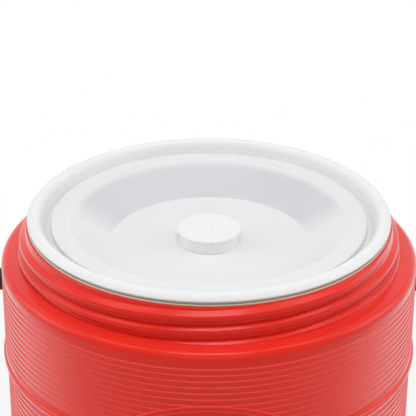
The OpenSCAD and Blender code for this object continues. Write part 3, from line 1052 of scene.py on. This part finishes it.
        def lay(at: Vector) -> Vector:
            """Stretch the ring to the oval and bend it round the wall.

            Args:
                at: Point of the ring.

            Returns:
                Its new place.
            """
            t = math.atan2(at.y, at.x)
            across = (math.hypot(at.x, at.y) - 1) / ring
            normal = Vector((math.cos(t) / a, math.sin(t) / b)).normalized() * (across * half)
            x, z = a * math.cos(t) + normal.x, self.panel_z + b * math.sin(t) + normal.y
            r = self.panel_r(z) + at.z / ring * self.frame_proud
            return Vector((x, -math.sqrt(r * r - x * x), z))

        Bench.reshape(piece, lay)
        Bench.tidy(piece, angle=60)
        return piece

    def build_boss(self) -> Mesh:
        """Turn the boss that carries the tap."""
        low, top = self.body_r - self.boss_depth, self.body_r + self.boss_proud
        return Bench.lathe("shell_tap_boss", [
            (self.boss_hole, low, 0), (self.boss_r + 2 * MM, low, 0), (self.boss_r, top, 1),
            (self.boss_hole, top, 0.4)], location=(0, 0, self.tap_z), rotation=ALONG_MINUS_Y)

    def build_lug(self, side: int, name: str) -> Mesh:
        """Turn one pivot lug."""
        low, top, r = self.lug_low, self.body_r + self.lug_face, self.lug_r
        return Bench.lathe(name, [(0, low, 0), (r, low, 0.5), (r, top, 0.7), (0, top, 0)],
                           steps=Facets.SMALL, location=(0, 0, self.pivot_z),
                           rotation=(0, side * QUARTER, 0))

    def dress(self, finishes: Finishes) -> None:
        """Make and settle all pieces of the shell.

        Args:
            finishes: All finishes.
        """
        pieces = [self.build_wall(), self.build_thread(0, "shell_thread_first"),
                  self.build_thread(1, "shell_thread_second"), self.build_frame(),
                  self.build_boss(), self.build_lug(-1, "shell_lug_left"),
                  self.build_lug(1, "shell_lug_right")]
        for piece in pieces:
            finishes.settle(piece, "red_shell", Body.JUG, "outer_shell")


@dataclass
class Vessel:
    """White liner with its rim bead and ledge, and the seal under the bead."""
    shell: Shell
    bead_inset: float = 3.5 * MM
    bead_w: float = 8.6 * MM
    bead_h: float = 5.8 * MM
    bead_round: float = 6.3 * MM
    bead_soft: float = 3 * MM
    undercut: float = 1.2 * MM
    rim_slope: float = 1.1 * MM
    rim_lean: float = 2.6 * MM
    ledge_w: float = 8.3 * MM
    ledge_drop: float = 10 * MM
    wall: float = 3 * MM
    floor_z: float = 34 * MM
    taper: float = 3 * MM
    seal_t: float = 1.3 * MM
    seal_shrink: float = 0.15 * MM
    seal_inset: float = 3.8 * MM
    pad_r: float = 24 * MM
    pad_t: float = 5 * MM
    hole_r: float = 11.6 * MM

    def __post_init__(self) -> None:
        """Work out the places that follow from the neck."""
        self.seal_top = self.shell.neck_top + self.seal_t
        self.rim_z = self.seal_top + self.bead_h
        self.ledge_z = self.rim_z - self.ledge_drop
        self.bead_r = self.shell.neck_r - self.bead_inset
        self.bead_in_r = self.bead_r - self.bead_w
        self.ledge_r = self.bead_in_r - self.rim_slope
        self.mouth_r = self.ledge_r - self.ledge_w
        self.neck_r = self.ledge_r + self.wall + 0.5 * MM
        self.pad_y = self.mouth_r - self.taper - self.pad_t

    def outline(self) -> list[Point]:
        """Outline of the liner: up the outside, over the bead, down the inside.

        Returns:
            The outline, from the axis back to it.
        """
        low_r, under_floor = self.mouth_r - self.taper, self.floor_z - self.wall
        base = self.seal_top + FIT
        crown = self.bead_in_r + self.bead_soft
        lean = math.degrees(math.acos((self.bead_r - 0.2 * MM - crown) / self.bead_round))
        bead = (arc(crown, self.rim_z - self.bead_round, self.bead_round, lean, 90, 8)
                + arc(crown, self.rim_z - self.bead_soft, self.bead_soft, 100, 168, 6))
        outer = soften([(0, under_floor, 0), (low_r + self.wall, under_floor, 5),
                        (self.mouth_r + self.wall, self.ledge_z - 13 * MM, 3),
                        (self.neck_r, self.ledge_z - 3 * MM, 3), (self.neck_r, base, 0)])
        under = soften([(self.neck_r, base, 0), (self.bead_r - self.undercut, base, 0.4),
                        (self.bead_r, bead[0][1] - 0.3 * MM, 0.3), (*bead[0], 0)], closed=False)
        inner = soften([(*bead[-1], 0), (self.ledge_r - self.rim_lean, self.ledge_z, 1.6),
                        (self.mouth_r, self.ledge_z, 1.2), (low_r, self.floor_z, 5),
                        (0, self.floor_z, 0)], closed=False, steps=6)
        return outer + under[1:-1] + bead + inner[1:]

    def build_liner(self) -> Mesh:
        """Turn the liner, add the tap's pad and drill it.

        Returns:
            The liner.
        """
        piece = Bench.turned("liner_vessel", self.outline(), Facets.FINE, angle=32)
        low, out, beyond = self.pad_y, self.mouth_r + 1 * MM, 9 * MM
        spot = {"location": (0, 0, self.shell.tap_z), "rotation": ALONG_MINUS_Y}
        pad = Bench.lathe("liner_pad", [(0, low, 0), (self.pad_r, low, 1), (self.pad_r, out, 0),
                                        (0, out, 0)], **spot)
        Bench.combine(piece, pad, Join.ADD)
        Bench.drill(piece, self.hole_r, low - beyond, out + beyond, **spot)
        return piece

    def build_seal(self) -> Mesh:
        """Turn the flat seal ring with a soft outer lip.

        Returns:
            The ring.
        """
        inner, outer = self.neck_r + 0.3 * MM, self.shell.neck_r - self.seal_inset
        low, top = self.shell.neck_top, self.seal_top - self.seal_shrink
        soft = (top - low) / MM * 0.45
        return Bench.lathe("neck_seal_ring", [(inner, low, 0), (outer, low, soft),
                                              (outer, top, soft), (inner, top, 0)],
                           steps=Facets.FINE)

    def dress(self, finishes: Finishes) -> None:
        """Make and settle the liner and its seal.

        Args:
            finishes: All finishes.
        """
        finishes.settle(self.build_liner(), "white_liner", Body.JUG, "liner")
        finishes.settle(self.build_seal(), "cream_seal", Body.JUG, "neck_seal")
        finishes.keep("insulation_foam", "foam")


@dataclass
class Lid:
    """Loose dished inner lid and its knob."""
    vessel: Vessel
    lap: float = 2.3 * MM
    flange_t: float = 3.4 * MM
    flange_w: float = 11.6 * MM
    crest: float = 0.8 * MM
    cone_w: float = 27.4 * MM
    dish: float = 17.5 * MM
    wall: float = 2.6 * MM
    skirt: float = 8 * MM
    side_gap: float = 0.3 * MM
    knob_r: float = 21.2 * MM
    knob_h: float = 10.5 * MM
    knob_lip: float = 1.5 * MM
    peg_r: float = 6 * MM
    gate_x: float = -12.9 * MM
    gate_y: float = 46.3 * MM
    gate_r: float = 2.2 * MM
    gate_rise: float = 0.35 * MM

    def __post_init__(self) -> None:
        """Work out the places that follow from the ledge."""
        self.rim_r = self.vessel.mouth_r + self.lap
        self.crest_r = self.rim_r - self.flange_w
        self.disc_r = self.crest_r - self.cone_w
        self.top = self.vessel.ledge_z + self.flange_t
        self.disc_z = self.top - self.dish

    def outline(self) -> list[Point]:
        """Outline of the lid from the middle of its disc round to its underside.

        Returns:
            The outline, from the axis back to it.
        """
        skirt_r, ledge = self.vessel.mouth_r - self.side_gap, self.vessel.ledge_z
        hang, inner = ledge - self.skirt, skirt_r - self.wall
        under, below = self.top - self.wall, self.disc_z - self.wall
        return soften([
            (0, self.disc_z, 0), (self.disc_r, self.disc_z, 7),
            (self.crest_r - 3 * MM, self.top - 0.8 * MM, 3.4),
            (self.crest_r, self.top + self.crest, 1.4),
            (self.crest_r + 3.4 * MM, self.top - 0.4 * MM, 2),
            (self.rim_r, self.top - 0.1 * MM, 0.9), (self.rim_r, ledge, 0.4),
            (skirt_r, ledge, 0.3), (skirt_r - 0.6 * MM, hang, 0.8), (inner, hang, 0.6),
            (inner, under, 1.2), (self.crest_r + 1 * MM, under, 3),
            (self.disc_r + 0.5 * MM, below, 5), (0, below, 0)], steps=6)

    def build_lid(self) -> Mesh:
        """Turn the lid and drill it for the knob's peg.

        Returns:
            The lid.
        """
        piece = Bench.turned("lid_dish", self.outline(), Facets.FINE, angle=30)
        Bench.drill(piece, self.peg_r, self.disc_z - self.wall - 1 * MM, self.disc_z + 1 * MM)
        return piece

    def build_gate(self) -> Mesh:
        """Turn the small moulding gate mark on the disc."""
        r, rise = self.gate_r, self.gate_rise
        return Bench.lathe("lid_gate_mark", [
            (0, -rise, 0), (r, -rise, 0), (r * 0.8, rise, 0.3), (r * 0.45, rise * 0.3, 0.3),
            (0, rise * 0.2, 0)], steps=Facets.HOLE,
            location=(self.gate_x, self.gate_y, self.disc_z))

    def build_knob(self) -> Mesh:
        """Turn the knob with its narrow lip and tiny middle nub.

        Returns:
            The knob.
        """
        side, peg = self.knob_r - 1 * MM, self.peg_r - 0.1 * MM
        low, lip, top = -self.wall - 1.4 * MM, self.knob_h - self.knob_lip, self.knob_h
        corners = [(0, low, 0), (peg, low, 0.8), (peg, 0, 0), (side - 0.5 * MM, 0, 0.2),
                   (side, lip - 0.8 * MM, 0.9), (self.knob_r, lip, 0.5), (self.knob_r, top, 0.9),
                   (self.knob_r - 3 * MM, top - 0.5 * MM, 1.6), (2.6 * MM, top - 0.5 * MM, 1),
                   (1.3 * MM, top + 0.25 * MM, 0.7), (0, top + 0.3 * MM, 0)]
        return Bench.lathe("lid_knob_cap", [(r, z + self.disc_z, soft) for r, z, soft in corners],
                           angle=45)

    def dress(self, finishes: Finishes) -> None:
        """Make and settle the lid's pieces.

        Args:
            finishes: All finishes.
        """
        finishes.settle(self.build_lid(), "white_lid", Body.LID, "inner_lid")
        finishes.settle(self.build_gate(), "white_lid", Body.LID, "inner_lid")
        finishes.settle(self.build_knob(), "white_lid", Body.LID, "lid_knob")


@dataclass
class Bail:
    """Black swinging handle with its grip, and the two pins it turns on."""
    shell: Shell
    tilt: float = 27.0
    leg: float = 18 * MM
    bow_facets: int = 72
    strap_t: float = 5 * MM
    strap_h: float = 12 * MM
    strap_soft: float = 1.6 * MM
    grip_t: float = 10 * MM
    grip_h: float = 20 * MM
    grip_soft: float = 3.2 * MM
    grip_sweep: float = 52.0
    grip_swell: float = 7.0
    grip_set: float = 3 * MM
    ridges: int = 15
    ridge_d: float = 0.7 * MM
    ridge_facets: int = 6
    eye_r: float = 7.5 * MM
    pin_r: float = 4 * MM
    pin_head_r: float = 6.6 * MM
    pin_head_t: float = 3 * MM
    run_gap: float = 0.1 * MM
    head_gap: float = 0.3 * MM

    def __post_init__(self) -> None:
        """Work out the places that follow from the lugs."""
        self.eye_x = self.shell.body_r + self.shell.lug_proud + self.run_gap
        self.eye_top = self.eye_x + self.strap_t
        self.hub_x = self.shell.body_r + self.shell.lug_face + self.run_gap
        self.fold = (math.radians(-self.tilt), 0.0, 0.0)
        self.pivot = (0.0, 0.0, self.shell.pivot_z)

    def build_strap(self) -> Mesh:
        """Sweep the bow, pull out its legs and add the eyes.

        Returns:
            The strap, folded behind the jug.
        """
        piece = Bench.bar("bail_strap", self.strap_t, self.strap_h, self.strap_soft,
                          self.eye_x, 0, 180, self.bow_facets)
        Bench.seat(piece, (0, self.leg, 0))
        with Bench.editing(piece):
            bpy.ops.mesh.select_mode(type="FACE")
            bpy.ops.mesh.select_all(action="DESELECT")
        for face in piece.data.polygons:
            face.select = abs(face.center.y - self.leg) < 0.1 * MM
        bpy.ops.object.mode_set(mode="EDIT")
        bpy.ops.mesh.extrude_region_move(TRANSFORM_OT_translate={"value": (0, -self.leg, 0)})
        bpy.ops.object.mode_set(mode="OBJECT")
        Bench.tidy(piece)
        low, top, r = self.hub_x, self.eye_top, self.eye_r
        for side in (-1, 1):
            turn = (0, side * QUARTER, 0)
            eye = Bench.lathe("bail_eye", [(0, low, 0), (r, low, 0.8), (r, top, 1.2), (0, top, 0)],
                              steps=Facets.SMALL, rotation=turn)
            Bench.combine(piece, eye, Join.ADD)
            Bench.drill(piece, self.pin_r + self.run_gap, low - MM, top + MM, Facets.HOLE,
                        rotation=turn)
        Bench.seat(piece, self.pivot, self.fold)
        return piece

    def build_grip(self) -> Mesh:
        """Sweep the hand grip and press finger ridges into its outer side.

        Returns:
            The grip, folded behind the jug.
        """
        inner = self.eye_x + self.grip_set
        core = inner + self.strap_t / 2
        start = 90 - self.grip_sweep / 2
        piece = Bench.bar("bail_grip", self.grip_t, self.grip_h, self.grip_soft, inner, start,
                          self.grip_sweep, self.ridges * self.ridge_facets)

        def press(at: Vector) -> Vector:
            """Slim the grip at its ends and press the ridges in.

            Args:
                at: Point of the grip.

            Returns:
                Its new place.
            """
            r = math.hypot(at.x, at.y)
            along = math.degrees(math.atan2(at.y, at.x)) - start
            end = ease(along / self.grip_swell) * ease((self.grip_sweep - along) / self.grip_swell)
            wave = 0.5 - 0.5 * math.cos(FULL_TURN * self.ridges * along / self.grip_sweep)
            depth = self.ridge_d * wave * ease((r - inner) / self.grip_t) * end
            placed = at_radius(at, core + (r - core) * mix(0.55, 1.0, end) - depth)
            return Vector((placed.x, placed.y, at.z * mix(0.7, 1.0, end)))

        Bench.reshape(piece, press)
        Bench.tidy(piece, angle=60)
        Bench.seat(piece, (0, self.leg, 0))
        Bench.seat(piece, self.pivot, self.fold)
        return piece

    def build_pin(self, side: int, name: str) -> Mesh:
        """Turn one pivot pin with a domed head.

        Args:
            side: -1 for the left pin, 1 for the right one.
            name: Name of the piece.

        Returns:
            The pin.
        """
        start, head = self.shell.lug_low + 1 * MM, self.eye_top + self.head_gap
        top, head_r = head + self.pin_head_t, self.pin_head_r
        sunk = top - 0.6 * MM
        return Bench.lathe(name, [
            (0, start, 0), (self.pin_r, start, 0.6), (self.pin_r, head, 0), (head_r, head, 0.3),
            (head_r, top, 2), (head_r * 0.42, top, 0.3), (head_r * 0.34, sunk, 0.3),
            (0, sunk, 0)], steps=Facets.SMALL, location=self.pivot,
            rotation=(0, side * QUARTER, 0))

    def dress(self, finishes: Finishes) -> None:
        """Make and settle the handle and its pins.

        Args:
            finishes: All finishes.
        """
        finishes.settle(self.build_strap(), "black_plastic", Body.BAIL, "bail_handle")
        finishes.settle(self.build_grip(), "black_plastic", Body.BAIL, "bail_handle")
        for side, hand in ((-1, "left"), (1, "right")):
            pin = self.build_pin(side, f"pivot_pin_{hand}")
            finishes.settle(pin, "black_pin", Body.JUG, f"{hand}_pivot_pin")


@dataclass
class Tap:
    """Press tap on the front: body, collar, button, seals and lock nut."""
    shell: Shell
    vessel: Vessel
    shank_r: float = 11 * MM
    bore: float = 7 * MM
    flange_r: float = 20 * MM
    flange_t: float = 6 * MM
    gasket_t: float = 2 * MM
    washer_t: float = 2.5 * MM
    nut_t: float = 8 * MM
    nut_r: float = 20 * MM
    nut_facets: int = 64
    tail: float = 4.5 * MM
    neck_wall: float = 3 * MM
    reach: float = 21 * MM
    barrel_r: float = 15 * MM
    barrel_wall: float = 3.5 * MM
    spout_r: float = 12 * MM
    spout_bore: float = 9.2 * MM
    spout_drop: float = 34 * MM
    seat_drop: float = 14 * MM
    seat_t: float = 4 * MM
    seat_r: float = 5.5 * MM
    collar_skirt: float = 5.7 * MM
    collar_wall: float = 2.6 * MM
    bulk_t: float = 4 * MM
    cup_h: float = 9 * MM
    cup_step: float = 2 * MM
    flutes: int = 30
    flute_d: float = 0.5 * MM
    flute_facets: int = 6
    travel: float = 5 * MM
    press_stop: float = 1 * MM
    recess_h: float = 5 * MM
    recess_r: float = 9 * MM
    crown_t: float = 4 * MM
    stem_r: float = 1.8 * MM
    spring_r: float = 7 * MM
    spring_gap: float = 0.1 * MM
    wire_r: float = 0.6 * MM
    coils: int = 5
    coil_facets: int = 32
    side_gap: float = 0.3 * MM
    shank_lead: float = 2.4 * MM
    shank_thread: float = 0.8 * MM
    shank_row: float = 0.6 * MM

    def __post_init__(self) -> None:
        """Work out the places along the tap's two axes."""
        self.z = self.shell.tap_z
        self.boss_y = self.shell.body_r + self.shell.boss_proud
        self.flange_y = self.boss_y + self.gasket_t
        self.axis_y = self.flange_y + self.flange_t + self.reach
        self.nut_y = self.vessel.pad_y - self.washer_t
        self.shank_end = self.nut_y - self.nut_t - self.tail
        self.neck_r = self.bore + self.neck_wall
        self.seat_z = self.z - self.seat_drop
        self.top = self.z + self.neck_r + self.side_gap + self.collar_skirt
        self.bulk_z = self.top + self.bulk_t
        self.cup_top = self.bulk_z + self.cup_h
        self.cup_r = self.barrel_r - self.cup_step
        self.collar_r = self.barrel_r + self.collar_wall
        self.button_low = self.bulk_z + self.travel + self.press_stop
        self.recess_z = self.button_low + self.recess_h
        self.button_top = self.recess_z + self.crown_t
        self.spring_top = self.recess_z - self.spring_gap
        self.across = {"location": (0, 0, self.z), "rotation": ALONG_MINUS_Y}
        self.upright = {"location": (0, -self.axis_y, 0)}

    def build_shank(self) -> Mesh:
        """Turn shank, flange and neck in one, and cut the shank's thread.

        Returns:
            The threaded shank with flange and neck.
        """
        low, flange, front = self.shank_end, self.flange_y, self.flange_y + self.flange_t
        thread_low, thread_high = low + 1 * MM, self.boss_y - 13 * MM
        rows = int((self.boss_y - 12 * MM - low) / self.shank_row)
        shank = [(self.shank_r, thread_low + i * self.shank_row) for i in range(rows)]
        rest = soften([(self.shank_r, flange, 0), (self.flange_r, flange, 0.6),
                       (self.flange_r, front, 2), (self.neck_r, front, 4),
                       (self.neck_r, self.axis_y, 0), (0, self.axis_y, 0)], closed=False, steps=5)
        outline = [(0, low), (self.shank_r - 1 * MM, low)] + shank + rest
        piece = Bench.turned("tap_body_cast", outline, Facets.TAP, **self.across)

        def cut(at: Vector) -> Vector:
            """Sink the thread's groove into the shank.

            Args:
                at: Point of the tap.

            Returns:
                Its new place.
            """
            r, along = math.hypot(at.x, at.z - self.z), -at.y
            if abs(r - self.shank_r) > 0.2 * MM or not thread_low <= along <= thread_high:
                return at
            turn = math.atan2(at.z - self.z, at.x) / FULL_TURN
            wave = abs(2 * ((along / self.shank_lead - turn) % 1.0) - 1)
            keep = (r - self.shank_thread * wave) / r
            return Vector((at.x * keep, at.y, self.z + (at.z - self.z) * keep))

        Bench.reshape(piece, cut)
        return piece

    def build_body(self) -> Mesh:
        """Join the shank with the valve barrel and spout, and bore it through.

        Returns:
            The tap's body.
        """
        piece = self.build_shank()
        low, base = self.z - self.spout_drop, self.seat_z - self.seat_t
        chamber, chamber_r = self.seat_z + self.seat_t, self.barrel_r - self.barrel_wall
        Bench.drill(piece, self.spout_r - 0.5 * MM, low + 1 * MM, self.top - 0.5 * MM, Facets.TAP,
                    **self.upright)
        barrel = Bench.lathe("tap_barrel", [
            (self.spout_bore, low, 0.7), (self.spout_r, low, 1.1),
            (self.spout_r, base - 1 * MM, 2), (self.barrel_r, base + 2.5 * MM, 2),
            (self.barrel_r, self.top, 0.6), (chamber_r, self.top, 0.4), (chamber_r, chamber, 0.6),
            (self.seat_r, chamber, 0.4), (self.seat_r, self.seat_z, 0.4),
            (self.spout_bore, self.seat_z, 0.6)], steps=Facets.TAP, **self.upright)
        Bench.combine(piece, barrel, Join.ADD)
        Bench.drill(piece, self.bore, self.shank_end - 2 * MM, self.axis_y - self.seat_r,
                    **self.across)
        return piece

    def build_collar(self) -> Mesh:
        """Turn the screwed collar and press grip flutes into its side.

        Returns:
            The collar.
        """
        hole, inner, r = self.stem_r + 0.1 * MM, self.barrel_r + FIT, self.collar_r
        low, roof = self.top - self.collar_skirt, self.top + 0.2 * MM
        piece = Bench.lathe("tap_collar_ring", [
            (hole, roof, 0), (hole, self.bulk_z, 0.3), (self.cup_r, self.bulk_z, 0.6),
            (self.cup_r, self.cup_top, 0.6), (r - 0.4 * MM, self.cup_top, 1.2),
            (r, self.cup_top - 2.2 * MM, 0.8), (r, low + 1 * MM, 0), (r - 0.5 * MM, low, 0.3),
            (inner, low, 0.2), (inner, roof, 0)], steps=self.flutes * self.flute_facets)
        band_low, band_high = low + 0.4 * MM, self.cup_top - 2 * MM

        def flute(at: Vector) -> Vector:
            """Press the flutes into the collar's side.

            Args:
                at: Point of the collar.

            Returns:
                Its new place.
            """
            out = math.hypot(at.x, at.y)
            if out < r - 0.8 * MM or not band_low <= at.z <= band_high:
                return at
            wave = 0.5 + 0.5 * math.cos(self.flutes * math.atan2(at.y, at.x))
            return at_radius(at, out - self.flute_d * wave ** 2)

        Bench.reshape(piece, flute)
        Bench.seat(piece, **self.upright)
        return piece

    def build_button(self) -> Mesh:
        """Turn the press button with a shallow thumb dish.

        Returns:
            The button.
        """
        r, hole = self.cup_r - 0.2 * MM, self.stem_r + FIT
        low, recess, top = self.button_low, self.recess_z, self.button_top
        stem_top = top - self.crown_t * 0.4 + FIT
        return Bench.lathe("tap_button_cap", [
            (0, stem_top, 0), (hole, stem_top, 0), (hole, recess, 0.1),
            (self.recess_r, recess, 0.3), (self.recess_r, low, 0.3), (r, low, 0.5), (r, top, 1.8),
            (r - 3.4 * MM, top + 0.2 * MM, 1.6), (r * 0.42, top - 0.7 * MM, 2.4),
            (0, top - 0.8 * MM, 0)], steps=Facets.TAP, angle=50, **self.upright)

    def build_spring(self) -> Mesh:
        """Coil the wire that lifts the button.

        Returns:
            The spring.
        """
        low = self.bulk_z + self.spring_gap
        outline = arc(self.spring_r, low + self.wire_r, self.wire_r, 0, 330, 11)
        lead = (self.spring_top - low - 2 * self.wire_r) / self.coils
        piece = Bench.screwed("tap_spring_coil", outline, self.coils, lead, self.coil_facets)
        Bench.tidy(piece, angle=60)
        Bench.seat(piece, **self.upright)
        return piece

    def build_ring(self, name: str, radius: float, start: float, end: float) -> Mesh:
        """Turn a flat gasket or washer round the shank.

        Args:
            name: Name of the piece.
            radius: Its outer radius.
            start, end: Its two faces along the shank.

        Returns:
            The ring.
        """
        hole = self.shank_r + self.side_gap
        soft = min(0.6, (end - start) / MM * 0.3)
        return Bench.lathe(name, [(hole, start, soft * 0.5), (radius, start, soft),
                                  (radius, end, soft), (hole, end, soft * 0.5)],
                           steps=Facets.TAP, **self.across)

    def build_nut(self) -> Mesh:
        """Bevel a six-sided block, drill it and seat it on the shank.

        Returns:
            The nut.
        """
        Bench.clear()
        bpy.ops.mesh.primitive_cylinder_add(vertices=6, radius=self.nut_r, depth=self.nut_t,
                                            rotation=(0, 0, math.radians(30)))
        piece = Bench.name(bpy.context.object, "tap_lock_nut")
        bpy.ops.object.transform_apply(location=True, rotation=True, scale=True)
        with Bench.editing(piece):
            bpy.ops.mesh.bevel(offset=0.9 * MM, segments=3)
        Bench.drill(piece, self.shank_r + FIT, -self.nut_t, self.nut_t, self.nut_facets)
        middle = self.nut_y - self.nut_t / 2
        Bench.seat(piece, (0, -middle, self.z), (QUARTER, QUARTER / 3, 0))
        return piece

    def dress(self, finishes: Finishes) -> None:
        """Make and settle the tap's pieces, and finish the small inner ones.

        Args:
            finishes: All finishes.
        """
        finishes.settle(self.build_body(), "white_tap", Body.JUG, "tap_body")
        finishes.settle(self.build_collar(), "white_tap", Body.JUG, "tap_collar")
        finishes.settle(self.build_nut(), "white_tap", Body.JUG, "tap_nut")
        for name, radius, start, end, node in (
                ("tap_gasket_ring", self.flange_r - 1.5 * MM, self.boss_y, self.flange_y,
                 "tap_outer_gasket"),
                ("tap_washer_ring", self.nut_r - 0.5 * MM, self.nut_y, self.vessel.pad_y,
                 "tap_inner_washer")):
            ring = self.build_ring(name, radius, start, end)
            finishes.settle(ring, "grey_rubber", Body.JUG, node)
        finishes.settle(self.build_button(), "red_button", Body.BUTTON, "tap_button")
        spring = self.build_spring()
        finishes.settle(spring, "spring_steel", Body.BUTTON, "tap_spring")
        1 - self.travel / (self.spring_top - self.bulk_z)
        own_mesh(spring)
        for node, slot in (("tap_stem", "white_stem"), ("tap_valve_disc", "grey_rubber"),
                           ("tap_o_ring", "grey_rubber")):
            finishes.keep(node, slot)


@dataclass
class Base:
    """Base plate with its ring foot and middle pad, and the filling plug."""
    shell: Shell
    foot_h: float = 1.5 * MM
    foot_inset: float = 11.3 * MM
    foot_w: float = 10 * MM
    foot_slope: float = 0.8 * MM
    plate_inset: float = 1.2 * MM
    plate_facets: int = 120
    spigot_h: float = 4.5 * MM
    spigot_gap: float = 0.3 * MM
    pad_r: float = 40 * MM
    plug_r: float = 8.2 * MM
    plug_y: float = 62 * MM
    plug_lip: float = 3 * MM
    plug_facets: int = 40

    def __post_init__(self) -> None:
        """Work out the places that follow from the shell."""
        self.top = self.shell.bottom_z + self.spigot_h
        self.plug_at = (0.0, self.plug_y, 0.0)

    def build_plate(self) -> Mesh:
        """Turn the plate and drill the filling hole.

        Returns:
            The plate.
        """
        low_r, seat = self.shell.wall_r(self.shell.bottom_z), self.shell.bottom_z
        spigot, rim = low_r - self.shell.wall - self.spigot_gap, low_r - self.plate_inset
        foot, under, slope = self.shell.body_r - self.foot_inset, self.foot_h, self.foot_slope
        inner = foot - self.foot_w
        piece = Bench.lathe("base_plate_disc", [
            (0, 0, 0), (self.pad_r, 0, 0.6), (self.pad_r + slope, under, 0.5),
            (inner - slope, under, 0.5), (inner, 0, 0.6), (foot, 0, 0.6),
            (foot + slope, under, 0.5), (rim, under, 0.9), (rim, seat, 0.3), (spigot, seat, 0.2),
            (spigot, self.top, 0.6), (0, self.top, 0)], steps=self.plate_facets)
        Bench.drill(piece, self.plug_r, -MM, self.top + MM, self.plug_facets,
                    location=self.plug_at)
        return piece

    def build_plug(self) -> Mesh:
        """Turn the filling plug with a dished head.

        Returns:
            The plug.
        """
        head, edge, stud = self.foot_h * 0.2, self.plug_r + self.plug_lip, self.plug_r - FIT
        dish = head + 0.5 * MM
        return Bench.lathe("foam_plug_cap", [
            (0, dish, 0), (edge * 0.5, dish, 0.6), (edge * 0.6, head, 0.6), (edge, head, 0.5),
            (edge, self.foot_h, 0.2), (stud, self.foot_h, 0), (stud, self.top, 0.6),
            (0, self.top, 0)], steps=Facets.SMALL, location=self.plug_at)

    def dress(self, finishes: Finishes) -> None:
        """Make and settle the base's pieces.

        Args:
            finishes: All finishes.
        """
        finishes.settle(self.build_plate(), "red_base", Body.JUG, "base_plate")
        finishes.settle(self.build_plug(), "black_pin", Body.JUG, "foam_plug")


@dataclass(frozen=True)
class Lamp:
    """Soft lamp that faces the jug; one that hangs to the side has a twin on the other."""
    name: str
    size: Point
    power: float
    at: Place
    aim_z: float = 0.25

    def hang(self) -> None:
        """Hang the lamp, and its twin if it has one."""
        x, y, z = self.at
        for side in (-1, 1) if x else (1,):
            name = f"{self.name}{side}" if x else self.name
            lamp = bpy.data.lights.new(name, "AREA")
            lamp.shape = "RECTANGLE"
            lamp.size, lamp.size_y = self.size
            lamp.energy = self.power
            hung = bpy.data.objects.new(name, lamp)
            hung.location = (side * x, y, z)
            aim = Vector((0, 0, self.aim_z)) - hung.location
            hung.rotation_euler = aim.to_track_quat("-Z", "Y").to_euler()
            bpy.context.scene.collection.objects.link(hung)


@dataclass
class Studio:
    """Pale floor, soft overhead light, white surroundings and the camera."""
    floor_size: float = 8.0
    shadow_room: float = 0.35
    white_from: float = 0.75
    near_white: float = 0.75
    ambient: float = 0.36
    ambient_tint: Rgb = (0.96, 0.97, 1.0)
    lamps: tuple[Lamp, ...] = (
        Lamp("top", (0.5, 0.36), 4.6, (0.0, -0.36, 1.5)),
        Lamp("fill", (1.0, 1.0), 3.0, (0.0, -1.5, 1.0)),
        Lamp("wing", (0.3, 0.5), 1.7, (0.62, -0.02, 1.5)),
        Lamp("side", (0.8, 0.8), 4.7, (1.2, 0.1, 0.85)))
    target: Place = (-0.0007, 0.0, 0.3508)
    distance: float = 1.2
    pitch: float = 26.04
    roll: float = 0.15
    lens: float = 156.1
    sensor: float = 36.0

    def build_floor(self) -> None:
        """Lay a pale floor that the camera sees as white outside the shadow."""
        Bench.clear()
        bpy.ops.mesh.primitive_plane_add(size=self.floor_size)
        floor = Bench.name(bpy.context.object, "floor")
        g = Graph(bpy.data.materials.new("pale_floor"))
        paper = g.noise(0.02, 3)
        g.surface(Base_Color=g.tint(paper, linear(236, 236, 236), linear(240, 240, 240)),
                  Roughness=0.9, Specular_IOR_Level=0.1)
        spot = g.node("ShaderNodeVectorMath", {"operation": "LENGTH"}, {0: g.place()}, "Value")
        far = spot.over(self.shadow_room, self.white_from)
        white = g.seen() * (self.near_white + far * (1 - self.near_white))
        glow = g.node("ShaderNodeEmission", None, {"Color": (1.0, 1.0, 1.0), "Strength": 1.0})
        paper_shader = Val(g, g.tree.nodes["Principled BSDF"].outputs[0])
        g.show(g.node("ShaderNodeMixShader", None, {0: white, 1: paper_shader, 2: glow}))
        floor.data.materials.append(g.owner)

    def build_world(self) -> None:
        """Soft white light from all round; what is seen or mirrored of it is white."""
        world = bpy.data.worlds.new("white_room")
        bpy.context.scene.world = world
        g = Graph(world)
        soft, plain = (g.node("ShaderNodeBackground", None, {"Color": tint, "Strength": strength})
                       for tint, strength in ((self.ambient_tint, self.ambient),
                                              ((1.0, 1.0, 1.0), 1.0)))
        g.show(g.node("ShaderNodeMixShader", None, {0: g.seen(), 1: soft, 2: plain}))

    def build_camera(self) -> None:
        """Set the camera where the photograph was taken from."""
        pitch = math.radians(self.pitch)
        lens = bpy.data.cameras.new("front_above")
        lens.lens = self.lens
        lens.sensor_width = self.sensor
        camera = bpy.data.objects.new("front_above", lens)
        back = Vector((0, -math.cos(pitch), math.sin(pitch))) * self.distance
        turn = Matrix.Rotation(QUARTER - pitch, 4, "X") @ Matrix.Rotation(
            math.radians(self.roll), 4, "Z")
        camera.matrix_world = Matrix.Translation(Vector(self.target) + back) @ turn
        bpy.context.scene.collection.objects.link(camera)
        bpy.context.scene.camera = camera

    def build(self) -> None:
        """Set up the whole studio."""
        bpy.context.scene.view_settings.view_transform = "Standard"
        self.build_camera()
        self.build_floor()
        self.build_world()
        for lamp in self.lamps:
            lamp.hang()


def main() -> None:
    """Build the studio and all sub-assemblies in order."""
    logging.basicConfig(level=logging.INFO, format="%(name)s: %(message)s")
    Studio().build()
    finishes = Finishes()
    shell = Shell()
    vessel = Vessel(shell)
    for assembly in (shell, vessel, Lid(vessel), Bail(shell), Tap(shell, vessel), Base(shell)):
        assembly.dress(finishes)
    Bench.clear()


if __name__ == "__main__":
    main()
